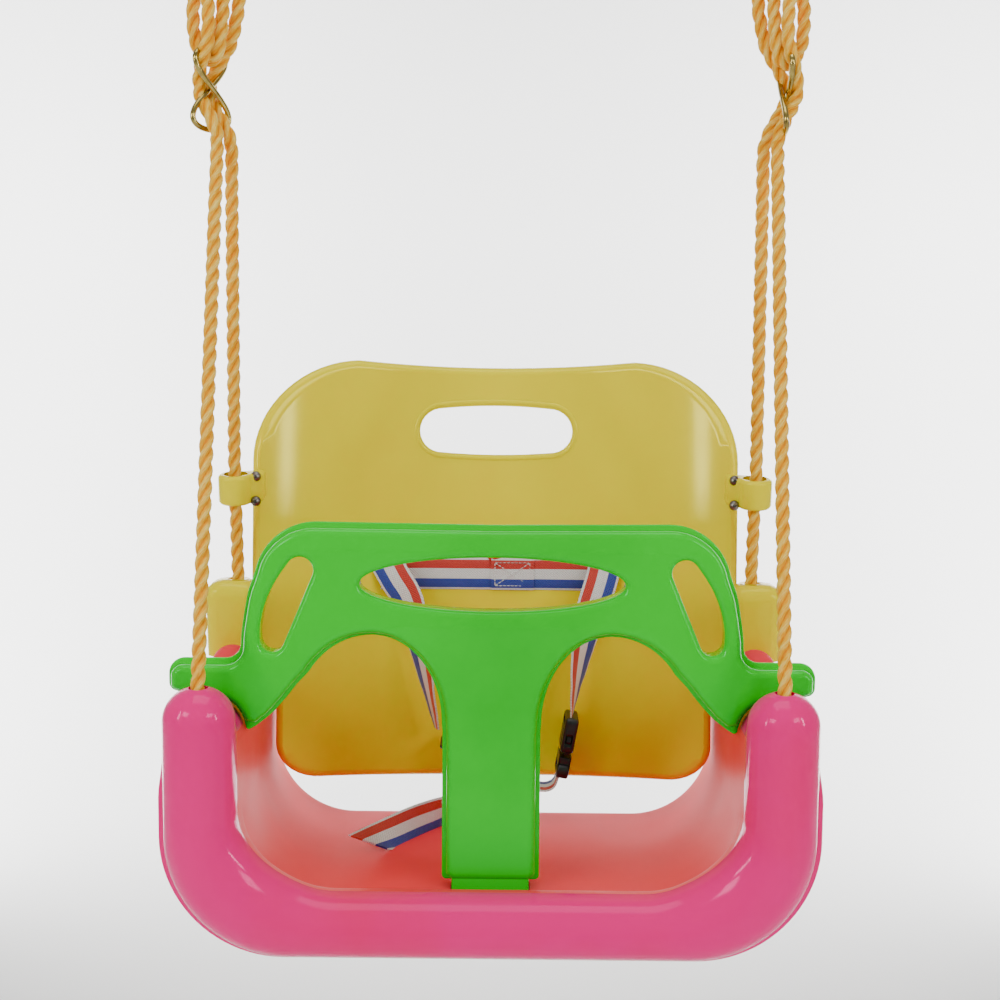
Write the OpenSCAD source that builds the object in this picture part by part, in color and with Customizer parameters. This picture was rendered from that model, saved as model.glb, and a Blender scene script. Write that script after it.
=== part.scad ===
// Toddler bucket swing: a moulded seat, a backrest and a T-shaped guard hung on two ropes.
// The origin is midway between the two hanging rings, on the line that the ropes swing about.
// +X is the sitter's left, +Y points to the back of the seat and +Z is up. The child faces -Y.
// Heights named "..._z" are measured up from the underside of the seat.

/* [Hanging] */
// Height of the hanging line above the underside of the seat
hang_height = 690; // [680:1:700]
// Diameter of the rope
rope_d = 10; // [8:0.5:10]
// Diameter of the straight bar of each hanging ring
bar_d = 10; // [8:0.5:10]
// Width of each hanging ring over its outside
ring_width = 66; // [60:1:80]
// Diameter of the wire of the rope adjusters
adjuster_wire = 4; // [3:0.5:4]
// Height of each rope adjuster
adjuster_height = 59; // [56:1:60]
// Width of each rope adjuster
adjuster_width = 34; // [32:1:36]

/* [Seat] */
// Height of the side rails
rail_z = 165; // [160:1:166]
// Height of the two front horns
horn_z = 180; // [178:1:182]
// Height of the seat's floor
floor_z = 36; // [32:1:38]
// Radius of the rounded rim and horns
rim_r = 23; // [22:0.5:24]
// Thickness of the moulded skin
skin = 3.5; // [3:0.1:4]
// Thickness of the stiffening ribs
rib = 3; // [2:0.1:4]

/* [Backrest] */
// Height of the backrest's top edge
back_top_z = 384; // [370:1:390]
// Height of the backrest's bottom edge
back_bottom_z = 62; // [60:1:64]
// Half width of the backrest above its shoulders
back_half = 181; // [178:1:182]
// Radius that the backrest is curved to, as seen from above
back_curve = 290; // [280:1:320]
// Angle that the backrest leans back
back_lean = 6; // [5:0.5:7]
// Width of the handle hole
handle_width = 118; // [100:1:120]
// Height of the handle hole
handle_height = 38; // [34:1:40]

/* [Guard] */
// Height of the guard's top edge
guard_top_z = 283.5; // [282:0.5:285]
// Depth of the guard from front to back
guard_depth = 20; // [18:1:21]
// Width of the guard's centre post
post_width = 66; // [60:1:68]

/* [Harness] */
// Width of the webbing
strap_width = 25; // [24:0.5:26]
// Thickness of the webbing
strap_thick = 1.6; // [1.4:0.1:1.8]

/* [Hidden] */
$fn = 64;

// The seat is set forward so that the whole swing hangs level.
seat_shift = -6;

// The seat, seen from above: the ropes and horns stand on lines at rope_x.
rope_x = 190;
seat_front = -132;
seat_back = 98;
rim_y = seat_front + rim_r;
rim_bend = 62;
rail_r = 24;
rail_inner_x = rope_x - rail_r;
trough_r = 60;
shell_r = 80;
lip = 5;
stop_r = 15;
stop_y = 22.5;
foot_height = 4;
foot_depth = 20;
rib_reach = 120;
hollow_half = 124;

// Rope legs: each runs from a stopper knot to the adjuster, the rear one through a bracket that
// keeps it in line up to REAR_BEND.
FRONT_FOOT = [0, -126, -544];
FRONT_HEAD = [3, -6, -156];
REAR_FOOT = [0, 58, -554];
REAR_BEND = [0, 35, -380];
REAR_HEAD = [-5, 5, -156];
leg_steps = 8;

// The rope above the front leg: through the adjuster, over the ring's bar, down round the
// adjuster's top wire, over the bar again and down through the adjuster to the rear leg.
// Each point is [outward from the rope's line, back, up from the hanging line].
HEAD_ROUTE = [
    [4, -6, -145], [9, -5, -133], [14, -1, -124], [16, 1, -117], [15, -4, -107], [12, -8, -97],
    [8, -11, -86], [7, -11, -70], [8, -10, -55], [10, -10, -36], [12, -11, -14],
    [12, -11, 0], [12, -8, 8], [12, 0, 11], [12, 8, 8], [12, 11, 0],
    [13, 11, -14], [18, 9, -34], [20, 6, -55], [20, 3, -72], [18, 3, -86],
    [13, 3, -94], [8, 0, -97], [3, -3, -94], [1, -5, -87],
    [-1, -4, -72], [-2, -2, -55], [-5, -5, -36], [-7, -11, -14],
    [-7, -11, 0], [-7, -8, 8], [-7, 0, 11], [-7, 8, 8], [-7, 11, 0],
    [-8, 11, -14], [-10, 10, -34], [-11, 8, -55], [-9, 6, -70], [-5, 5, -86], [2, 7, -97],
    [8, 9, -107], [10, 9, -117], [9, 8, -124], [4, 5, -133], [-2, 3, -144]
];
adjuster_out = 8;
adjuster_level = -117;
adjuster_turn = [52, 88];
rope_hole_r = 6.5;
knot_r = 10.5;
front_knot_z = horn_z - 19;
rear_knot_z = rail_z - 17;

// Directions of the rope legs, as angles from upright.
front_tilt = atan2(FRONT_HEAD.y - FRONT_FOOT.y, FRONT_HEAD.z - FRONT_FOOT.z);
rear_tilt = atan2(REAR_BEND.y - REAR_FOOT.y, REAR_BEND.z - REAR_FOOT.z);

// Backrest
back_y = 98;
back_thick = 3.5;
top_corner_r = 68;
bottom_corner_r = 24;
shoulder_z = 224;
wing_bottom_z = rail_z + 1.5;
wing_depth = 34;
wing_outer_x = 213;
wing_corner_r = 14;
lower_half = 163;
handle_z = back_top_z - 54;
bracket_z = 292;
bracket_height = 22;
bracket_r = 11;
screw_x = 175;
screw_gap = 9;
screw_seat = 20;
screw_r = 2;
strap_z = 221;
waist_half = 80;
peg_z = 234;
peg_r = 3;

// Guard
guard_front = rim_y + rim_r + 0.6;
tongue_width = 52;
tongue_thick = 14;
tongue_y = guard_front + 2;
tongue_depth = 18;
tongue_gap = 0.6;
socket_wall = 4;
guard_skin = 3;
wing_top_z = 191;
wing_x = 216.5;
arch_x = 80;
arch_z = 148;
arch_height = 59.5;

// Harness
buckle_x = 60;
buckle_y = 74;
buckle_top_z = 118;
buckle_tilt = 10;
buckle_thick = 10;
buckle_width = 33;
socket_length = 27;
plug_length = 20;
prong_width = 3;
prong_tip = 13;
glide_x = -32;
glide_z = 100;

function lerp(a, b, t) = a + (b - a) * t;
function leg(a, b) = [for (i = [0:leg_steps]) lerp(a, b, i / leg_steps)];
function arc(centre, radius, from, to, steps) =
    [for (i = [0:steps])
        let (angle = lerp(from, to, i / steps)) centre + radius * [cos(angle), sin(angle)]];
function mirrored(points) = concat(points, [for (i = [len(points) - 1:-1:0]) [-points[i].x, points[i].y]]);
function rope_route(side) =
    [for (p = concat(leg(FRONT_FOOT, FRONT_HEAD), HEAD_ROUTE, leg(REAR_HEAD, REAR_BEND),
            [for (i = [1:leg_steps]) lerp(REAR_BEND, REAR_FOOT, i / leg_steps)]))
        [side * (rope_x + p.x), p.y, p.z]];
// Place of the backrest's middle line, front to back, at a height.
function back_line(z) = back_y + (z - back_bottom_z) * tan(back_lean);
// Front face of the backrest at a distance from its middle line.
function back_face(x, z) =
    back_line(z) + (sqrt(back_curve * back_curve - x * x) - back_curve) / cos(back_lean);
// Place of a rope leg's middle, front to back, at a height.
function rope_y(foot, head, z) =
    lerp(foot.y, head.y, (z - hang_height - foot.z) / (head.z - foot.z)) - seat_shift;

// Everything below the hanging line is drawn from the seat's underside up.
module from_seat() {
    translate([0, seat_shift, -hang_height]) children();
}

module both_sides() {
    for (flip = [0, 1]) mirror([flip, 0, 0]) children();
}

// Turns an outline drawn in X and Z into a solid that starts at y and goes back by depth.
module upright(y, depth) {
    translate([0, y + depth, 0]) rotate([90, 0, 0]) linear_extrude(depth) children();
}

// A tube of flat-sided rings swept along a route.
module swept_tube(route, radius, sides) {
    last = len(route) - 1;
    rings = [for (i = [0:last])
        let (
            along = route[min(i + 1, last)] - route[max(i - 1, 0)],
            t = along / norm(along),
            u = cross(t, [1, 1, 0]),
            across = u / norm(u),
            over = cross(t, across)
        )
        [for (k = [0:sides - 1])
            let (a = 360 * k / sides) route[i] + radius * (cos(a) * across + sin(a) * over)]];
    points = [for (ring = rings) each ring];
    walls = [for (i = [0:last - 1], k = [0:sides - 1])
        let (n = (k + 1) % sides)
        [i * sides + k, i * sides + n, (i + 1) * sides + n, (i + 1) * sides + k]];
    start = [for (k = [sides - 1:-1:0]) k];
    end = [for (k = [0:sides - 1]) last * sides + k];
    polyhedron(points, concat([start, end], walls), convexity = 10);
}

// ---- Seat -------------------------------------------------------------------------------------

// Outline of the seat's outside, seen from the front and drawn in by inset.
module shell_outline(inset) {
    half = rope_x + rail_r - inset;
    corner = shell_r - inset;
    for (side = [-1, 1]) {
        translate([side * (rope_x + rail_r - shell_r), shell_r]) intersection() {
            circle(corner);
            translate([-corner, -corner]) square([2 * corner, corner]);
        }
        translate([side * rope_x, rail_z - rail_r]) circle(rail_r - inset);
    }
    translate([-half, shell_r]) square([2 * half, rail_z - rail_r - shell_r]);
    translate([shell_r - rope_x - rail_r, inset]) square([2 * (rope_x + rail_r - shell_r), shell_r]);
}

// Outline of the room inside the seat, grown by wall.
module trough_outline(wall) {
    half = rail_inner_x + wall;
    corner = trough_r + wall;
    centre_x = rail_inner_x - trough_r;
    centre_z = floor_z + trough_r;
    for (side = [-1, 1]) translate([side * centre_x, centre_z]) circle(corner);
    translate([-half, centre_z]) square([2 * half, rail_z - rail_r - centre_z]);
    translate([-centre_x, floor_z - wall]) square([2 * centre_x, trough_r + wall]);
    translate([wall - rail_inner_x, rail_z - rail_r - 1]) square([2 * (rail_inner_x - wall), 60]);
}

// The rounded rim across the front, up both sides and into the horns.
module front_rim(inset) {
    radius = rim_r - inset;
    bend_x = rope_x - rim_bend;
    bend_z = rim_r + rim_bend;
    translate([-bend_x, rim_y, rim_r]) rotate([0, 90, 0]) cylinder(r = radius, h = 2 * bend_x);
    both_sides() {
        translate([bend_x, rim_y, bend_z]) rotate([90, 0, 0])
            rotate_extrude(angle = -90) translate([rim_bend, 0]) circle(radius);
        translate([rope_x, rim_y, bend_z]) cylinder(r = radius, h = horn_z - rim_r - bend_z);
        translate([rope_x, rim_y, horn_z - rim_r]) sphere(radius);
    }
}

module seat_mass(inset) {
    front_rim(inset);
    // Round stops on the side rails, in front of the backrest's shoulders
    both_sides() translate([rope_x, stop_y, rail_z]) sphere(stop_r - inset);
    difference() {
        upright(rim_y, seat_back - rim_y - inset) shell_outline(inset);
        upright(rim_y - 1, seat_back - rim_y + 2) trough_outline(inset);
    }
}

// The small outward lip where the front rim's skin ends.
module rim_lip() {
    difference() {
        upright(rim_y, 3) shell_outline(-lip);
        upright(rim_y - 1, 5) shell_outline(2);
        translate([-300, rim_y - 2, rail_z - 40]) cube([600, 8, 80]);
    }
}

// Stiffening ribs under the floor, and two flat feet that the seat rests on.
module seat_ribs() {
    low = 1;
    rise = floor_z - skin;
    for (y = [-52, 4, 60]) translate([-rib_reach, y, low]) cube([2 * rib_reach, rib, rise]);
    for (x = [-100, -60, 60, 100])
        translate([x - rib / 2, rim_y + 6, low]) cube([rib, seat_back - rim_y - 8, rise]);
    for (y = [-60, 52]) translate([-rib_reach - 2, y, 0]) cube([2 * rib_reach + 4, foot_depth, foot_height]);
}

module seat_base() color("deeppink") from_seat() {
    difference() {
        union() {
            difference() {
                union() {
                    seat_mass(0);
                    rim_lip();
                }
                seat_mass(skin);
                // Open underside below the floor
                translate([-hollow_half, rim_y + 4, -1])
                    cube([2 * hollow_half, seat_back - rim_y - 4 - skin, floor_z - skin - 8]);
                upright(rim_y - rim_r - 1, 400) intersection() {
                    trough_outline(0);
                    translate([-150, floor_z + 10]) square([300, 400]);
                }
            }
            seat_ribs();
            // Socket walls round the guard's tongue
            translate([-tongue_width / 2 - socket_wall, tongue_y - socket_wall + 1, floor_z - tongue_depth])
                cube([tongue_width + 2 * socket_wall, tongue_thick + 2 * socket_wall - 1, tongue_depth - 1]);
        }
        // Slot that the guard's tongue drops into
        translate([-tongue_width / 2 - tongue_gap, tongue_y - tongue_gap, -1])
            cube([tongue_width + 2 * tongue_gap, tongue_thick + 2 * tongue_gap, floor_z + 10]);
        for (side = [-1, 1]) {
            // Rope holes in the front horns and the rear rails
            translate([side * rope_x, rope_y(FRONT_FOOT, FRONT_HEAD, horn_z), horn_z])
                rotate([-front_tilt, 0, 0]) translate([0, 0, -14]) cylinder(r = rope_hole_r, h = 24);
            translate([side * rope_x, rope_y(REAR_FOOT, REAR_BEND, rail_z), rail_z])
                rotate([-rear_tilt, 0, 0]) translate([0, 0, -12]) cylinder(r = rope_hole_r, h = 24);
        }
    }
}

// ---- Backrest ---------------------------------------------------------------------------------

function back_outline() = mirrored(concat(
    [[0, back_top_z - 6]],
    [[60, back_top_z - 3], [105, back_top_z]],
    arc([back_half - top_corner_r, back_top_z - top_corner_r], top_corner_r, 88, 0, 10),
    [[back_half + 1, shoulder_z], [back_half + 1, wing_bottom_z + 6]],
    arc([lower_half + 9, wing_bottom_z + 6], 8, 0, -90, 3),
    [[lower_half + 2, wing_bottom_z - 2], [lower_half, wing_bottom_z - 8]],
    arc([lower_half - bottom_corner_r, back_bottom_z + bottom_corner_r], bottom_corner_r, 0, -90, 6)
));

// Handle hole: a long slot, gently crowned top and bottom.
module handle_hole() {
    end_r = handle_height / 2 - 2;
    crown = 350;
    intersection() {
        translate([-handle_width / 2, -handle_height / 2]) square([handle_width, handle_height]);
        union() {
            for (side = [-1, 1]) translate([side * (handle_width / 2 - end_r), 0]) circle(end_r);
            intersection() {
                translate([0, handle_height / 2 - crown]) circle(crown, $fn = 256);
                translate([0, crown - handle_height / 2]) circle(crown, $fn = 256);
                square([handle_width - 2 * end_r, handle_height], center = true);
            }
        }
    }
}

module back_shell(outer, inner) {
    middle = back_y - back_curve / cos(back_lean);
    translate([0, middle, back_bottom_z]) rotate([-back_lean, 0, 0]) translate([0, 0, -60])
        difference() {
            cylinder(r = outer, h = 440, $fn = 128);
            translate([0, 0, -1]) cylinder(r = inner, h = 442, $fn = 128);
        }
}

// Hollow shoulder that a rear rope passes down through, on top of a side rail.
module shoulder(inset) {
    y = rope_y(REAR_FOOT, REAR_BEND, 200) - wing_depth / 2;
    low = wing_bottom_z - (inset > 0 ? 1 : 0);
    inner = back_half - 10 + inset;
    flat_top = wing_outer_x - wing_corner_r;
    upright(y + inset, wing_depth - 2 * inset) {
        translate([inner, low]) square([wing_outer_x - inset - inner, shoulder_z - wing_corner_r - low]);
        translate([inner, low]) square([flat_top - inner, shoulder_z - inset - low]);
        translate([flat_top, shoulder_z - wing_corner_r]) circle(wing_corner_r - inset);
    }
}

module backrest() color("gold") from_seat() difference() {
    union() {
        intersection() {
            difference() {
                back_shell(back_curve + back_thick, back_curve);
                translate([-300, -500 + back_y - 80, 0]) cube([600, 400, 500]);
            }
            upright(0, 200) polygon(back_outline());
        }
        difference() {
            both_sides() shoulder(0);
            both_sides() shoulder(skin);
        }
    }
    upright(0, 200) translate([0, handle_z]) handle_hole();
    for (side = [-1, 1]) {
        translate([side * rope_x, rope_y(REAR_FOOT, REAR_BEND, shoulder_z), shoulder_z])
            rotate([-rear_tilt, 0, 0]) translate([0, 0, -20]) cylinder(r = rope_hole_r, h = 40);
        // Screw holes for the brackets
        for (up = [-screw_gap, screw_gap])
            translate([side * screw_x, 30, bracket_z + up]) rotate([-90, 0, 0])
                cylinder(r = screw_r + 0.2, h = 80);
    }
    translate([0, 60, peg_z]) rotate([-90, 0, 0]) cylinder(r = peg_r + 0.2, h = 100);
}

// ---- Rope brackets ----------------------------------------------------------------------------

// A collar round the rear rope at -X, with an arm screwed to the front of the backrest's edge.
module bracket() color("gold") from_seat() {
    rope = [-rope_x, rope_y(REAR_FOOT, REAR_BEND, bracket_z)];
    outer = screw_x + 5;
    inner = screw_x - 5;
    gap = 2.6;
    pad = 12;
    difference() {
        translate([rope.x, rope.y, bracket_z]) rotate([-rear_tilt, 0, 0])
            translate([-rope.x, -rope.y, -bracket_height / 2]) linear_extrude(bracket_height) {
                translate(rope) circle(bracket_r);
                polygon([
                    rope + [-7, 6], rope + [4, -9], [-inner, back_face(inner, bracket_z) - gap - pad],
                    [-inner, back_face(inner, bracket_z) - gap], [-outer, back_face(outer, bracket_z) - gap]
                ]);
            }
        translate([rope.x, rope.y, bracket_z]) rotate([-rear_tilt, 0, 0])
            translate([0, 0, -bracket_height]) cylinder(r = rope_hole_r, h = 2 * bracket_height);
        for (up = [-screw_gap, screw_gap])
            translate([-screw_x, back_face(screw_x, bracket_z + up), bracket_z + up]) rotate([-90, 0, 0]) {
                translate([0, 0, -60]) cylinder(r = screw_r + 0.2, h = 90);
                translate([0, 0, -60 - screw_seat]) cylinder(r = 4.2, h = 60);
            }
    }
}

module bracket_left() bracket();
module bracket_right() mirror([1, 0, 0]) bracket();

module at_screws() {
    for (side = [-1, 1], up = [-screw_gap, screw_gap])
        translate([side * screw_x, back_face(screw_x, bracket_z + up), bracket_z + up])
            rotate([-90, 0, 0]) children();
}

// Pan-head screws; each starts in front of the bracket's arm.
module bracket_screws() color("dimgray") from_seat() at_screws() {
    translate([0, 0, -screw_seat - 1]) cylinder(r = screw_r, h = screw_seat + 14);
    translate([0, 0, -screw_seat - 2.4]) cylinder(r = 3.8, h = 2.4);
}

module bracket_nuts() color("silver") from_seat() at_screws() {
    translate([0, 0, 8]) difference() {
        cylinder(r = 4.2, h = 3.2, $fn = 6);
        translate([0, 0, -1]) cylinder(r = screw_r, h = 6);
    }
}

// ---- Guard ------------------------------------------------------------------------------------

// Half of an arch over the room beside the post, from one angle to another.
function arch(half, from, to) =
    [for (a = [from:10:to]) [arch_x + half * cos(a), arch_z + arch_height * sin(a)]];
function guard_outline() = mirrored(concat(
    [[0, guard_top_z - 1.2], [60, guard_top_z - 0.4]],
    arc([117, guard_top_z - 42], 42, 90, 12, 8),
    [[163.5, 234], [166.7, 215.5]],
    arc([178, wing_top_z + 10], 10, 190, 270, 4),
    arc([wing_x - 11, wing_top_z - 11], 11, 90, 0, 5),
    [[wing_x, rail_z + 3]],
    arc([rope_x, rail_z - rail_r], rail_r + 0.6, 70, 172, 8),
    [[164, 141.5], [156.5, 146], [147.5, 153.5], [138.5, 163.5], [129.5, 175]],
    arch(52, 40, 90),
    arch(46.5, 100, 180),
    [[post_width / 2, arch_z - 8], [post_width / 2, floor_z + 3.5]]
));

// Lens-shaped opening across the middle.
function lens_outline() = [for (a = [0:7.5:352.5]) [88 * cos(a), 18 * sin(a)]];
// Long opening beside each arm: straight on its inner side and bowed on its outer side.
function slot_outline() = concat(
    arc([127.5, 252], 9, 195, 40, 6),
    [[141, 248.5], [147, 238], [151.5, 226], [154, 213]],
    arc([146, 205], 8, -5, -160, 5)
);

module guard_shape() difference() {
    polygon(guard_outline());
    translate([0, guard_top_z - 40]) polygon(lens_outline());
    both_sides() polygon(slot_outline());
}

module guard() color("limegreen") from_seat() {
    difference() {
        upright(guard_front, guard_depth) guard_shape();
        upright(guard_front + guard_skin, guard_depth) offset(delta = -guard_skin) guard_shape();
    }
    // Cross ribs inside the hollow back
    for (z = [75, 120, 165])
        translate([-post_width / 2 + 2, guard_front + 2, z]) cube([post_width - 4, guard_depth - 4, 2.4]);
    // Tongue that drops into the seat's floor
    translate([-tongue_width / 2, tongue_y, floor_z - tongue_depth])
        cube([tongue_width, tongue_thick, tongue_depth + 8]);
}

// ---- Ropes and what holds them ----------------------------------------------------------------

module rope_left() color("orange") swept_tube(rope_route(-1), rope_d / 2, 8);
module rope_right() color("orange") swept_tube(rope_route(1), rope_d / 2, 8);

// Stopper knots inside the horns and under the rear rails.
module rope_knots() color("orange") from_seat() for (side = [-1, 1]) {
    translate([side * rope_x, rope_y(FRONT_FOOT, FRONT_HEAD, front_knot_z), front_knot_z]) sphere(knot_r);
    translate([side * rope_x, rope_y(REAR_FOOT, REAR_BEND, rear_knot_z), rear_knot_z]) sphere(knot_r);
}

// A wire bent into an upright figure of eight.
module adjuster(side, turn) color("darkgoldenrod")
    translate([side * (rope_x + adjuster_out), 0, adjuster_level]) rotate([0, 0, -side * turn]) {
        half_h = (adjuster_height - adjuster_wire) / 2;
        half_w = (adjuster_width - adjuster_wire) / 2;
        gap = adjuster_wire / 2 + 0.3;
        steps = 40;
        loop = [for (i = [0:steps])
            let (a = 360 * i / steps + 45) [half_w * sin(2 * a), gap * sin(a), half_h * cos(a)]];
        swept_tube(loop, adjuster_wire / 2, 8);
    }

module adjuster_left() adjuster(-1, adjuster_turn[0]);
module adjuster_right() adjuster(1, adjuster_turn[1]);

// Welded hanging ring with a straight bar at the bottom for the rope.
module ring(side) color("silver") translate([side * rope_x, 0, 0]) {
    half = (ring_width - bar_d) / 2;
    rotate([0, 90, 0]) cylinder(r = bar_d / 2, h = 2 * half, center = true);
    for (end = [-1, 1]) translate([end * half, 0, 0]) {
        sphere(bar_d / 2);
        cylinder(r = bar_d / 2, h = 12);
    }
    translate([0, 0, 12]) rotate([90, 0, 0])
        rotate_extrude(angle = 180) translate([half, 0]) circle(bar_d / 2);
}

module ring_left() ring(-1);
module ring_right() ring(1);

// ---- Harness ----------------------------------------------------------------------------------

// A flat strap through a list of [x, y, z] points, its width turned along the direction wide.
module strap(points, wide) {
    last = len(points) - 1;
    rows = [for (i = [0:last])
        let (
            along = points[min(i + 1, last)] - points[max(i - 1, 0)],
            n = cross(along, wide),
            thin = n / norm(n) * strap_thick / 2,
            w = wide / norm(wide) * strap_width / 2
        )
        [points[i] - w - thin, points[i] + w - thin, points[i] + w + thin, points[i] - w + thin]];
    walls = [for (i = [0:last - 1], k = [0:3])
        let (n = (k + 1) % 4) [i * 4 + k, i * 4 + n, (i + 1) * 4 + n, (i + 1) * 4 + k]];
    polyhedron([for (row = rows) each row],
        concat([[3, 2, 1, 0]], [[last * 4, last * 4 + 1, last * 4 + 2, last * 4 + 3]], walls), convexity = 6);
}

// Waist strap that lies on the front of the backrest.
module back_strap() color("white") from_seat() intersection() {
    back_shell(back_curve - 0.3, back_curve - 0.3 - strap_thick);
    translate([-waist_half, 60, strap_z - strap_width / 2]) cube([2 * waist_half, 100, strap_width]);
}

// Push rivet that holds the waist strap's loop, above its middle.
module strap_peg() color("red") from_seat() translate([0, back_line(peg_z) - 4, peg_z])
    rotate([-90, 0, 0]) {
        translate([0, 0, -0.5]) cylinder(r = 7, h = 4);
        cylinder(r = peg_r, h = 14);
    }

module peg_washer() color("silver") from_seat() translate([0, back_line(peg_z) + 4.6, peg_z])
    rotate([-90, 0, 0]) difference() {
        cylinder(r = 7, h = 1.5);
        translate([0, 0, -1]) cylinder(r = peg_r, h = 4);
    }

// The left side hangs forward and down towards the middle.
LEFT_STRAP = [[-81, 96, 222], [-72, 90, 200], [-61, 84, 172], [-51, 79, 145], [-42, 74, 106]];
module strap_left() color("crimson") from_seat() strap(LEFT_STRAP, [0.8, 0.1, 0.6]);

// The right side turns edge-on as it drops to the buckle.
RIGHT_STRAP = [[82, 86, 212], [75, 83, 190], [68, 80, 165], [64, 76, 142], [60, 74, 120]];
module strap_right() color("royalblue") from_seat() strap(RIGHT_STRAP, [0.25, 1, 0]);

// Places the buckle's parts: z runs down the buckle from the top of the socket.
module at_buckle() {
    translate([buckle_x, buckle_y, buckle_top_z]) rotate([0, 180 + buckle_tilt, 0]) children();
}

module buckle_socket() color("black") from_seat() at_buckle() difference() {
    translate([-buckle_thick / 2, -buckle_width / 2, 0]) cube([buckle_thick, buckle_width, socket_length]);
    // Room for the plug's prongs
    translate([-buckle_thick / 2 + 2, -buckle_width / 2 + 3, 10])
        cube([buckle_thick - 4, buckle_width - 6, socket_length]);
    // Bar for the webbing
    translate([-buckle_thick, -strap_width / 2 - 1, 3]) cube([2 * buckle_thick, strap_width + 2, 3]);
}

module buckle_plug() color("black") from_seat() at_buckle() {
    translate([-buckle_thick / 2, -buckle_width / 2, socket_length + 0.4]) difference() {
        cube([buckle_thick, buckle_width, plug_length]);
        translate([-1, buckle_width / 2 - strap_width / 2 - 1, plug_length - 8])
            cube([20, strap_width + 2, 4]);
    }
    // Two prongs and a centre guide inside the socket
    for (y = [-9.5, 0, 9.5]) translate([-2.5, y - prong_width / 2, prong_tip])
        cube([5, prong_width, socket_length + 1 - prong_tip]);
}

// Webbing from the plug back towards the middle.
LOWER_STRAP = [[50, 73, 70], [38, 72, 62], [20, 71, 70], [0, 71, 86], [-19, 71, 103]];
module strap_lower() color("crimson") from_seat() strap(LOWER_STRAP, [0, 1, 0]);

// Ladder slide that the left strap and the lower strap are threaded on.
module tri_glide() color("black") from_seat()
    translate([glide_x, 71, glide_z]) rotate([0, 60, 0]) difference() {
        translate([-2, -16, -9]) cube([4, 32, 18]);
        for (z = [-6, 2]) translate([-5, -strap_width / 2 - 1, z]) cube([10, strap_width + 2, 3.6]);
    }

// The webbing's free end, lying on the seat's floor.
TAIL = [[-36, 62, 84], [-38, 60, 62], [-42, 56, 44], [-52, 46, 38], [-68, 28, 37.6], [-86, 6, 37.4]];
module strap_tail() color("crimson") from_seat() strap(TAIL, [0.75, -0.6, 0]);

seat_base();
backrest();
guard();
bracket_left();
bracket_right();
bracket_screws();
bracket_nuts();
rope_left();
rope_right();
rope_knots();
adjuster_left();
adjuster_right();
ring_left();
ring_right();
back_strap();
strap_peg();
peg_washer();
strap_left();
strap_right();
buckle_socket();
buckle_plug();
strap_lower();
tri_glide();
strap_tail();
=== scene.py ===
"""Looks of the toddler bucket swing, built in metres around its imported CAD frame."""

from math import atan2, ceil, cos, pi, radians, sin, sqrt, tan

import bmesh
import bpy
import numpy as np
from mathutils import Matrix, Vector


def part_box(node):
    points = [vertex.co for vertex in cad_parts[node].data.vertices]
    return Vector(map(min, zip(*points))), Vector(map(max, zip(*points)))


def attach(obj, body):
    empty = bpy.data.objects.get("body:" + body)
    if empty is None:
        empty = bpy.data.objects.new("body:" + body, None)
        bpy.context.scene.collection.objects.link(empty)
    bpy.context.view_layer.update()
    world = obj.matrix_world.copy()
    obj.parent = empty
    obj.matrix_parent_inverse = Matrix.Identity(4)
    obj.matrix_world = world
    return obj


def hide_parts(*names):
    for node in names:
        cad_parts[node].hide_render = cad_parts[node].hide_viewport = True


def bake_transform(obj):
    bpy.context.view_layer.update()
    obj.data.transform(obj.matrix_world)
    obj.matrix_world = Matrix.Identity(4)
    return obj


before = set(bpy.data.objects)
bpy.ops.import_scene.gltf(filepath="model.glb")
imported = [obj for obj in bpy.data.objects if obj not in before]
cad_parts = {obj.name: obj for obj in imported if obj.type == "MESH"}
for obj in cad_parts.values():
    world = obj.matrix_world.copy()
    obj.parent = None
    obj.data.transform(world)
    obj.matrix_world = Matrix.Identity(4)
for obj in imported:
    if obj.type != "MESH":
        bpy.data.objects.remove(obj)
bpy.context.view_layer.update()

# ---- Places taken from the frame ----

SEAT_LOW, SEAT_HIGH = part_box("seat_base")
BACK_LOW, BACK_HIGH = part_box("backrest")
GUARD_LOW, GUARD_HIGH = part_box("guard")
LIP = 0.005
BASE_Z = SEAT_LOW.z + LIP                     # underside of the seat
FRONT_Y = SEAT_LOW.y
BACK_Y = SEAT_HIGH.y
HALF_WIDTH = SEAT_HIGH.x - LIP
RAIL_R = 0.024
RAIL_X = HALF_WIDTH - RAIL_R                  # the ropes stand on this line too
RIM_R = 0.023
RIM_Y = FRONT_Y + RIM_R
RAIL_TOP = 0.165
HORN_TOP = 0.180
FLOOR_Z = 0.036
SHIFT = FRONT_Y + 0.132                       # how far the seat is set forward of its own drawing


def up(z):
    """Height in the frame of something z above the seat's underside."""
    return BASE_Z + z


# ---- Camera, light and stage ----

FOCAL = 1.667                                 # focal length as a share of the picture's width
CAMERA_AWAY = 1.038                           # from the front of the seat
CAMERA_RISE = 0.427                           # above the underside of the seat
CAMERA_PITCH = 6.67
CAMERA_ROLL = 0.49
CAMERA_YAW = 0.32


def make_camera():
    data = bpy.data.cameras.new("camera")
    data.sensor_width = 36
    data.lens = 36 * FOCAL
    camera = new_object("camera", data)
    place = Vector((0.004, FRONT_Y + 0.002 - CAMERA_AWAY, up(CAMERA_RISE)))
    tilted = turn(90 - CAMERA_PITCH, "X") @ turn(CAMERA_ROLL, "Z")
    camera.matrix_world = turn(CAMERA_YAW, "Z") @ Matrix.Translation(place) @ tilted
    bpy.context.scene.camera = camera


def area_light(name, place, aim, size, power):
    data = bpy.data.lights.new(name, "AREA")
    data.shape = "RECTANGLE"
    data.size, data.size_y = size
    data.energy = power
    light = new_object(name, data)
    light.location = place
    light.rotation_euler = (Vector(aim) - Vector(place)).to_track_quat("-Z", "Y").to_euler()


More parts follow.
